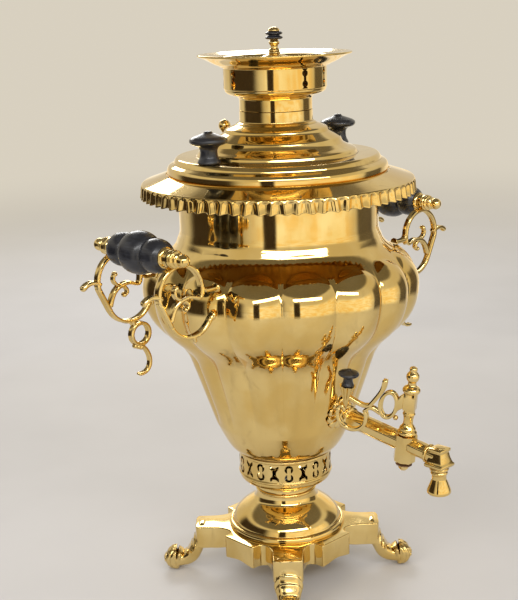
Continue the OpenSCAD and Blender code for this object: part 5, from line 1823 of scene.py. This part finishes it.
    def build(self) -> list[Piece]:
        """Makes both handles.

        Returns:
            All their pieces.
        """
        out = [self.bracket(Side.LEFT, -1, False), self.bracket(Side.LEFT, 1, True),
               self.bracket(Side.RIGHT, -1, True), self.bracket(Side.RIGHT, 1, True)]
        return out + [self.grip(Side.LEFT), self.grip(Side.RIGHT)] + self.fittings()


@dataclass
class Tap:
    """The tap: petalled plate, eight-sided tube and barrel, square head, spout, key and lever."""

    tube_w: float = 15.0
    barrel_w: float = 17.0
    barrel_h: float = 25.0
    barrel_below: float = 0.68
    barrel_above: float = 0.32
    plug_r: float = 5.4
    spout_out: float = 34.0
    spout_drop: float = 7.5
    spout_h: float = 22.5
    mouth_r: float = 9.8
    outlet_r: float = 4.0
    head_w: float = 8.8
    rosette_r: float = 15.0
    petals: int = 10
    shank_r: float = 6.5
    key_h: float = 67.5
    key_block: float = 9.6
    block_up: float = 22.0
    block_h: float = 15.5
    lever_turn: float = 22.0
    lever_reach: float = 54.0
    lever_w: float = 5.5
    lever_t: float = 3.0
    knob_r: float = 8.9
    knob_h: float = 14.8

    def __post_init__(self) -> None:
        """Takes the key's axis from the model's joint."""
        joint = next(j for j in frame["record"]["behaviour"]["joints"] if j["name"] == "tap_turn")
        self.place = Vector(joint["pos_m"]) / MM
        axis = Vector(joint["axis"])
        self.tilt = math.atan2(-axis.y, axis.z)
        self.seat = Matrix.Translation(self.place) @ Matrix.Rotation(self.tilt, 4, "X")
        self.lever_seat = self.seat @ Matrix.Rotation(math.radians(self.lever_turn), 4, "Z")
        self.head_y = self.place.y - self.spout_out
        self.head_z = self.place.z - self.spout_out * math.tan(self.tilt)
        self.spout_z = self.head_z - self.spout_drop
        self.mouth_z = self.spout_z - self.spout_h
        self.barrel_low = -self.barrel_h * self.barrel_below
        self.barrel_high = self.barrel_h * self.barrel_above
        self.block_low = self.barrel_high + self.block_up
        self.block_high = self.block_low + self.block_h

    def rosette(self) -> Piece:
        """The plate at the tap's root, with rounded petals and a raised ring.

        Returns:
            The plate.
        """
        low, high = span("tap_rosette")
        centre = (low + high) / 2
        face = frame["nodes"]["tap_rosette"].data
        lean = min((p.normal for p in face.polygons if p.normal.y > 0.6), key=lambda n: -n.y)
        lean = Vector((0, lean.y, lean.z)).normalized()
        out = -lean
        back = min(v.co.dot(out) for v in face.vertices) / MM
        root = centre + out * (back - centre.dot(out))
        turn = out.to_track_quat("Z", "Y").to_matrix().to_4x4()
        place = Matrix.Translation(root) @ turn
        petal_r = self.rosette_r * math.pi / self.petals * 0.62
        piece = Piece("petalled_plate", Body.URN, CAST, ("tap_rosette",), 40, 1.2)

        def petalled(co: Vector) -> Vector:
            """Gives a point of the plain disc its place on the petals.

            Args:
                co: The point.

            Returns:
                Its place.
            """
            radius = math.hypot(co.x, co.y)
            angle = math.atan2(co.y, co.x)
            lobe = abs(math.sin(angle * self.petals / 2))
            edge = self.rosette_r - petal_r + petal_r * math.sqrt(max(0.02, lobe))
            share = radius / self.rosette_r
            reach = edge * share
            rise = co.z * (0.35 + 0.65 * math.sqrt(max(0.0, 1 - share ** 4)))
            rise *= 0.55 + 0.45 * lobe ** 0.6 if share > 0.45 else 1.0
            return Vector((reach * math.cos(angle), reach * math.sin(angle), rise))

        hole, rings = self.shank_r + 0.3, 26
        steps = [(self.rosette_r - hole) * k / rings for k in range(rings + 1)]
        profile = ([(hole + step, 0) for step in steps]
                   + [(self.rosette_r - step, petal_r * 0.95) for step in steps])
        return piece.add(shaped(turned(profile, self.petals * 16, True), petalled), place)

    def body(self) -> Piece:
        """The tube, the barrel, the collars and the square head.

        Returns:
            The body.
        """
        piece = Piece("tap_casting", Body.URN, CAST, ("tap_body",), 30, 1.0)
        back = Matrix.Rotation(-math.pi / 2, 4, "X")
        root = span("tap_body")[1].y
        shank = (root - self.place.y) / math.cos(self.tilt)
        collar = self.collar_place()
        piece.add(prism(8, self.tube_w, -4, collar + 2, 0.7), self.seat @ back)
        rings = lathe([(0, collar - 4), (8, collar - 4), (9.6, collar - 3), (9.6, collar - 1.6),
                       (8.4, collar - 0.8), (8.4, collar - 0.2), (10.4, collar + 0.6), (10.4, collar + 2.2),
                       (self.shank_r, collar + 2.8), (self.shank_r, shank - 1),
                       (self.shank_r - 0.8, shank - 0.3), (0, shank - 0.3)], 0.5, 4, 64)
        piece.add(rings, self.seat @ back)
        piece.add(self.barrel(), self.seat)
        piece.add(prism(8, self.tube_w * 0.86, 4, self.spout_out - 1.5, 0.7), self.seat @ back.inverted())
        ring = self.spout_out - 8.8
        elbow = lathe([(0, ring - 2.8), (7.2, ring - 2.8), (8.0, ring - 2), (8.0, ring - 0.8), (7.2, ring),
                       (0, ring)], 0.4, 3, 48)
        piece.add(elbow, self.seat @ back.inverted())
        piece.add(self.head(), Matrix.Translation((0, self.head_y, self.spout_z)))
        return piece

    def collar_place(self) -> float:
        """How far along the tube its collar rings stand, just in front of the plate."""
        low = span("tap_rosette")[0]
        return (low.y - self.place.y) / math.cos(self.tilt) - 4.4

    def barrel(self) -> Mesh:
        """The eight-sided barrel, chamfered at its foot and ringed at its head.

        Returns:
            The mesh.
        """
        low, high, w = self.barrel_low, self.barrel_high, self.barrel_w
        shape = prism(8, w, low, high, 0.0001)
        foot = [v for v in shape.verts if v.co.z < low + 0.5]
        bmesh.ops.translate(shape, verts=foot, vec=(0, 0, 2.0))
        faces = [f for f in shape.faces if f.normal.z < -0.9]
        made = bmesh.ops.extrude_face_region(shape, geom=faces)["geom"]
        fresh = [v for v in made if isinstance(v, bmesh.types.BMVert)]
        bmesh.ops.translate(shape, verts=fresh, vec=(0, 0, -2.0))
        bmesh.ops.scale(shape, verts=fresh, vec=(0.74, 0.74, 1))
        bmesh.ops.delete(shape, geom=faces, context="FACES_ONLY")
        bmesh.ops.recalc_face_normals(shape, faces=shape.faces)
        return softened(shape, 0.6)

    def head(self) -> Mesh:
        """The flared square head with a tilted cap plate.

        Returns:
            The mesh.
        """
        w = self.head_w
        line = ([(w - 1.4, 0), (w, 1.4), (w, 3.4)]
                + curve((w - 1, 4.4), (w - 2.6, 8), (6.2, 10), (5.4, 13.4), 10) + [(6.6, 14.0)])
        shape = bmesh.new()
        start = line[0][0]
        verts, edges = threaded(shape, [Vector((start * x, start * y, line[0][1])) for x, y in
                                        ((1, 1), (-1, 1), (-1, -1), (1, -1))], True)
        shape.faces.new(verts[::-1])
        for (r0, z0), (r1, z1) in zip(line, line[1:]):
            verts, edges = pulled(shape, edges)
            bmesh.ops.scale(shape, verts=verts, vec=(r1 / r0, r1 / r0, 1))
            bmesh.ops.translate(shape, verts=verts, vec=(0, 0, z1 - z0))
        bmesh.ops.contextual_create(shape, geom=edges)
        bmesh.ops.recalc_face_normals(shape, faces=shape.faces)
        softened(shape, 0.5, 2, 24)
        plate = slab([(-6.6, -6.6), (6.6, -6.6), (6.6, 6.6), (-6.6, 6.6)], 0, 2.6, 0.6)
        add_to(shape, plate, Matrix.Translation((0, 0, 13.8)))
        add_to(shape, lathe([(0, 16.2), (4.8, 16.2), (4.0, 17.0), (0, 17.3)], 0.6, 4, 40))
        return shape

    def spout(self) -> Piece:
        """The spout, from its collar to the flared mouth.

        Returns:
            The spout.
        """
        s, m, r = self.spout_z, self.mouth_z, self.mouth_r
        line = [(self.outlet_r, s + 3.8), (5, s + 3.8), (5, s), (7.6, s - 0.05), (8, s - 1.2),
                (7.4, s - 2.4), (6.2, s - 3), (7, s - 4), (7, s - 5.2), (6, s - 6.4), (5.9, s - 10),
                (6.6, s - 11.4), (r * 0.82, m + 7.6), (r * 0.95, m + 4.4), (r, m + 2.6), (r, m + 1.2),
                (r - 1, m), (r - 2.2, m), (self.outlet_r, m + 6)]
        place = Matrix.Translation((0, self.head_y, 0))
        return Piece("flared_spout", Body.URN, TURNED, ("tap_spout",), 40).add(
            lathe(line, 0.7, 4, 72, True), place)

    def key(self) -> Piece:
        """The key: plug, collars, square block and bulb finial.

        Returns:
            The key.
        """
        h, low, high = self.barrel_high, self.block_low, self.block_high
        k, foot = self.key_h, self.barrel_low - 0.8
        stem = lathe([(0, foot), (self.plug_r - 0.9, foot), (self.plug_r + 0.4, h + 0.3), (7, h + 0.3),
                      (8, h + 1.4), (8.1, h + 3), (6.6, h + 4.4), (6.8, h + 6), (5.2, h + 8),
                      (4.1, h + 10), (3.9, h + 14), (4.6, h + 17), (5.4, h + 18.6), (4.6, h + 20),
                      (4.6, low + 1), (0, low + 1)], 0.6, 4, 64)
        finial = lathe([(0, high - 1), (5.6, high - 1), (6.6, high), (7.3, high + 1.4), (7.2, high + 3),
                        (6, high + 4.6), (4.4, high + 5.4), (3.3, high + 6.6), (3.4, k - 13), (4.8, k - 11),
                        (5.4, k - 8.6), (5, k - 6.4), (3.6, k - 4.6), (2.9, k - 3.8), (3.3, k - 2.6),
                        (3.1, k - 0.8), (2, k), (0, k)], 0.6, 4, 64)
        block = slab([(-1, -1), (1, -1), (1, 1), (-1, 1)], low, high)
        bmesh.ops.scale(block, verts=block.verts, vec=(self.key_block / 2, self.key_block / 2, 1))
        piece = Piece("key_and_finial", Body.KEY, TURNED, ("tap_key",), 32)
        piece.add(stem, self.seat).add(finial, self.seat)
        return piece.add(softened(block, 0.7), self.lever_seat)

    def strip(self, line: Profile, start: float, end: float) -> Mesh:
        """One scroll of the lever, in the plane along its length."""
        path = [Vector((0, y, z)) for y, z in refined(line, 1.6)]
        return ribbon(path, self.lever_w, start, end, Vector((1, 0, 0)))

    def lever(self) -> list[Piece]:
        """The lever: oval ring, long sweep, open volute and the leaf cup, with its black knob.

        Returns:
            The lever and its knob.
        """
        t, low, high = self.lever_t, self.block_low, self.block_high
        ry, rz = 17.6, low + 0.4
        vy, vz, vr = self.lever_reach - 6.2, 14.0, 12.4
        cup, sides = 24.0, 48
        piece = Piece("scrolled_lever", Body.KEY, CAST, ("tap_lever",), 44, 0.9)
        oval = [Vector((0, y, z)) for y, z in ellipse((ry, rz), (8.3 - t / 2, 12.8 - t / 2), 9, sides)]
        shapes = [
            swept(oval, [(self.lever_w / 2, t / 2)] * sides, FLUTED, Vector((1, 0, 0)), True),
            self.strip(curve((22.4, rz + 20.0), (22.4, rz + 12), (25.6, rz + 8), (vy - 14.4, vz + 12), 24),
                       t * 1.3, t * 1.15),
            self.strip(curve((vy - 15.4, vz + 13), (vy - 9, vz + 8.6), (vy - 3, vz + 13),
                             (self.lever_reach, vz + 16), 16), t, t),
            self.strip(curve((ry + 6.4, rz - 8.6), (ry + 12, rz - 6.4), (vy - 15, vz + 13),
                             (vy - 11, vz + 7), 14), t, t),
            self.strip(arc((vy, vz), vr, 148, 375, 50), t, t),
            self.strip(arc((vy + vr - 2.6, vz + 3.4), 2.8, 0, 190, 16), t, t * 0.7),
            bead(2.2, (0, ry - 6.8, rz - 10))]
        half = self.key_block / 2 + 0.05
        web = slab([(half, low + 1), (9.4, rz - 3), (11, rz), (9.4, rz + 9.4), (half, high - 1.2)],
                   -self.lever_w / 2, self.lever_w / 2, 0.6)
        upright = Matrix(((0, 0, 1, 0), (1, 0, 0, 0), (0, 1, 0, 0), (0, 0, 0, 1)))
        piece.add(web, self.lever_seat @ upright)
        for shape in shapes:
            piece.add(shape, self.lever_seat)
        piece.add(self.leaf_cup(), self.lever_seat @ Matrix.Translation((0, self.lever_reach, cup)))
        knob = Piece("lever_knob_turned", Body.KEY, WOOD, ("lever_knob",), 40).add(
            lathe(mushroom(self.knob_r, self.knob_h), 0.4, 3, 56),
            self.lever_seat @ Matrix.Translation((0, self.lever_reach, cup + 15.25)))
        return [piece, knob]

    @staticmethod
    def leaf_cup() -> Mesh:
        """The fluted cup of leaves under the lever's knob.

        Returns:
            The mesh.
        """
        line = refined([(0, -5), (1.6, -4), (2.9, 0), (3.9, 5), (6.0, 12), (7.0, 15.2), (0, 15.2)], 0.8)

        def fluted(co: Vector) -> Vector:
            """Presses the flutes into a point of the plain cup.

            Args:
                co: The point.

            Returns:
                Its place.
            """
            share = ramp((co.z + 4) / 12)
            wave = abs(math.cos(4 * math.atan2(co.y, co.x)))
            scale = 1 - 0.20 * share * (1 - wave) if co.z < 15.1 else 1 - 0.16 * (1 - wave)
            return Vector((co.x * scale, co.y * scale, co.z))

        return shaped(turned(line, 96), fluted)

    def build(self) -> list[Piece]:
        """Makes the tap with its key and lever."""
        return [self.rosette(), self.body(), self.spout(), self.key()] + self.lever()


# ---------------------------------------------------------------- what stays hidden


INNER = {"foot_screws": STEEL, "tie_bolt": STEEL, "tie_nut": STEEL, "grate": IRON, "fire_tube": DULL,
         "bracket_nuts": TURNED, "lid_knob_screws": STEEL, "grip_rod_left": STEEL, "grip_rod_right": STEEL,
         "tap_washer": FIBRE, "tap_nut": TURNED, "key_washer": FIBRE, "key_retainer": TURNED,
         "lever_knob_screw": STEEL}


def dress_inner_nodes() -> None:
    """Gives the nodes that stay as they are their finishes."""
    for name, finish in INNER.items():
        thing = frame["nodes"][name]
        thing.data.materials.clear()
        thing.data.materials.append(PALETTE.of(finish))
        LOG.info("%s: kept, %s", name, finish.name)


# ---------------------------------------------------------------- setting


@dataclass(frozen=True)
class Studio:
    """Floor, soft light, dark screens for the polish to mirror, and the camera."""

    eye: tuple = (-0.7142, -0.7142, 0.5136)
    heading: float = -45.0
    pitch: float = 14.34
    yaw: float = -1.10
    roll: float = -1.81
    focal_px: float = 1182.2
    frame_h_px: float = 600.0
    floor_r: float = 30.0
    floor_fade: tuple = (0.8, 2.8)
    floor_colour: tuple = rgb(0.57, 0.57, 0.60)
    wall_colour: tuple = rgb(0.84, 0.77, 0.64)
    wall_light: float = 0.82
    screen_colour: tuple = rgb(0.040, 0.026, 0.016)
    softness: float = 0.2
    screen_r: float = 0.78
    daylight: tuple = (rgb(1.0, 0.96, 0.84), rgb(0.95, 0.74, 0.40))
    daylight_strength: float = 1.15

    def camera(self) -> None:
        """Puts the camera in its place."""
        pitch, yaw, roll = (math.radians(a) for a in (self.pitch, self.yaw, self.roll))
        ahead = Vector((math.sin(yaw) * math.cos(pitch), math.cos(yaw) * math.cos(pitch), -math.sin(pitch)))
        right = Vector((math.cos(yaw), -math.sin(yaw), 0))
        top = right.cross(ahead)
        across = math.cos(roll) * right + math.sin(roll) * top
        upward = -math.sin(roll) * right + math.cos(roll) * top
        turn = Matrix((across, upward, -ahead)).transposed().to_4x4()
        data = bpy.data.cameras.new("camera")
        data.sensor_width = 36.0
        data.lens = self.focal_px / self.frame_h_px * data.sensor_width
        thing = bpy.data.objects.new("camera", data)
        thing.matrix_world = Matrix.Translation(self.eye) @ Matrix.Rotation(
            math.radians(self.heading), 4, "Z") @ turn
        bpy.context.scene.collection.objects.link(thing)
        bpy.context.scene.camera = thing

    def world(self) -> None:
        """A pale even room."""
        world = bpy.data.worlds.new("room")
        world.use_nodes = True
        bpy.context.scene.world = world
        tree = world.node_tree
        back = tree.nodes["Background"]
        back.inputs["Color"].default_value = self.wall_colour
        back.inputs["Strength"].default_value = self.wall_light

    def floor(self) -> None:
        """A wide pale table top that takes on the room's colour far from the urn."""
        g = Graph("table_top")
        paler = tuple(0.96 * c for c in self.floor_colour[:3]) + (1.0,)
        g.surface({"Base Color": g.blend(g.noise(160, 3).ranged(0.3, 0.7), self.floor_colour, paler),
                   "Roughness": 0.6})
        away = g.get("ShaderNodeVectorMath", {"operation": "LENGTH"}, {0: g.place()}, "Value")
        camera, glossy, through = (g.get("ShaderNodeLightPath", {}, {}, way) for way in (
            "Is Camera Ray", "Is Glossy Ray", "Is Transmission Ray"))
        seen = away.ranged(*self.floor_fade) * (camera + glossy + through)
        far = g.node("ShaderNodeEmission", {}, {"Color": self.wall_colour, "Strength": self.wall_light})
        mix = g.node("ShaderNodeMixShader", {}, {0: seen})
        g.tree.links.new(g.shader.outputs[0], mix.inputs[1])
        g.tree.links.new(far.outputs[0], mix.inputs[2])
        g.tree.links.new(mix.outputs[0], g.tree.nodes["Material Output"].inputs[0])
        bm = bmesh.new()
        bmesh.ops.create_circle(bm, cap_ends=True, segments=96, radius=self.floor_r)
        thing = as_object(bm, "table_top")
        thing.data.materials.append(g.material)

    def lamp(self, name: str, place: Vector, size: Point, power: float,
             colour: tuple = (1, 1, 1)) -> bpy.types.Object:
        """A soft rectangular lamp that faces the urn.

        Args:
            name: Name of the lamp.
            place: Where it hangs, in metres.
            size: Its width and height in metres.
            power: Its power in watts.
            colour: Its colour.

        Returns:
            The lamp.
        """
        data = bpy.data.lights.new(name, "AREA")
        data.shape = "RECTANGLE"
        data.size, data.size_y = size
        data.energy = power
        data.color = colour
        thing = bpy.data.objects.new(name, data)
        aim = Vector((0, 0, 0.24)) - place
        thing.matrix_world = (Matrix.Translation(place)
                              @ aim.to_track_quat("-Z", "Y").to_matrix().to_4x4())
        bpy.context.scene.collection.objects.link(thing)
        return thing

    def screen(self, name: str, azimuth: float, width: float, low: float, high: float, weight: float,
               bright: bool = False) -> None:
        """A dark or a sunlit part of the room with soft edges, seen only in the polish.

        Args:
            name: Name of the screen.
            azimuth: Direction in degrees from +X.
            width: Its width in degrees.
            low: Height of its foot in metres.
            high: Height of its head in metres.
            weight: How solid its middle is, from 0 to 1.
            bright: Whether it is sunlit, and stands behind the dark ones.
        """
        start, turn, rows = math.radians(azimuth - width / 2), math.radians(width), 12
        radius = self.screen_r * (1.06 if bright else 1.0)
        bm = bmesh.new()
        verts, edges = threaded(bm, [Vector((math.cos(start), math.sin(start), 0)) * radius
                                     + UP * (low + (high - low) * i / rows) for i in range(rows + 1)], False)
        bmesh.ops.spin(bm, geom=verts + edges, cent=(0, 0, 0), axis=UP, angle=turn, steps=24,
                       use_duplicate=False)
        shade = bm.verts.layers.float.new("shade")
        for vert in bm.verts:
            across = ((math.atan2(vert.co.y, vert.co.x) - start) % FULL_TURN) / turn
            up = (vert.co.z - low) / (high - low)
            vert[shade] = weight * self.soft(across) * min(self.soft(up + self.softness), ramp(up / 0.05))
        self.hide_from_all_but_polish(as_object(bm, name), bright)

    def soft(self, share: float) -> float:
        """Fades a screen towards both of its edges."""
        return ramp(min(share, 1 - share) / self.softness)

    def ceiling(self, name: str, height: float, radius: float, weight: float) -> None:
        """A dark round screen above the urn with a soft edge, seen only in the polish.

        Args:
            name: Name of the screen.
            height: Its height in metres.
            radius: Half its width in metres.
            weight: How solid its middle is, from 0 to 1.
        """
        bm = bmesh.new()
        bmesh.ops.create_grid(bm, x_segments=24, y_segments=24, size=radius)
        shade = bm.verts.layers.float.new("shade")
        for vert in bm.verts:
            vert[shade] = weight * ramp((1 - vert.co.length / radius) / self.softness)
        bmesh.ops.translate(bm, verts=bm.verts, vec=UP * height)
        self.hide_from_all_but_polish(as_object(bm, name))

    def hide_from_all_but_polish(self, thing: bpy.types.Object, bright: bool = False) -> None:
        """Keeps a screen out of sight and out of the light.

        Args:
            thing: The screen.
            bright: Whether it is sunlit.
        """
        g = Graph(thing.name)
        if bright:
            stripes = g.noise(60, 3, (0.35, 2.2)).ranged(0.42, 0.6)
            g.surface({"Emission Color": g.blend(stripes, *self.daylight),
                       "Emission Strength": self.daylight_strength})
        thing.data.materials.append(g.surface({"Base Color": self.screen_colour, "Roughness": 0.9,
                                               "Alpha": g.mark("shade")}))
        for ray in ("camera", "diffuse", "shadow", "transmission"):
            setattr(thing, "visible_" + ray, False)

    def build(self) -> None:
        """Sets everything up."""
        bpy.context.scene.view_settings.view_transform = "Standard"
        self.camera()
        self.world()
        self.floor()
        self.lamp("window", Vector((-0.68, -1.33, 1.2)), (2.3, 0.3), 17)
        side = self.lamp("soft_side", Vector((-1.5, 0.1, 0.9)), (0.7, 0.9), 8, (1.0, 0.95, 0.86))
        side.visible_glossy = False
        self.lamp("back", Vector((0.9, 1.3, 1.0)), (0.9, 0.4), 8)
        self.screen("garden", 256, 136, 0.0, 0.62, 1.0, True)
        self.screen("yard", 40, 90, 0.0, 0.55, 0.8, True)
        self.screen("room_left", 147, 92, 0.0, 0.72, 1.0)
        self.screen("figure", 215, 17, 0.0, 0.8, 1.0)
        self.screen("room_right", 336, 40, 0.0, 0.7, 0.85)
        self.ceiling("roof", 1.9, 2.4, 0.78)


def main() -> None:
    """Builds the setting and every sub-assembly in order."""
    logging.basicConfig(level=logging.INFO, format="%(name)s: %(message)s")
    Studio().build()
    for assembly in (Base(), Stand(), Urn(), PleatedRing(), Lid(), Crown(), Handles(), Tap()):
        for piece in assembly.build():
            piece.hand_over()
    dress_inner_nodes()


if __name__ == "__main__":
    main()
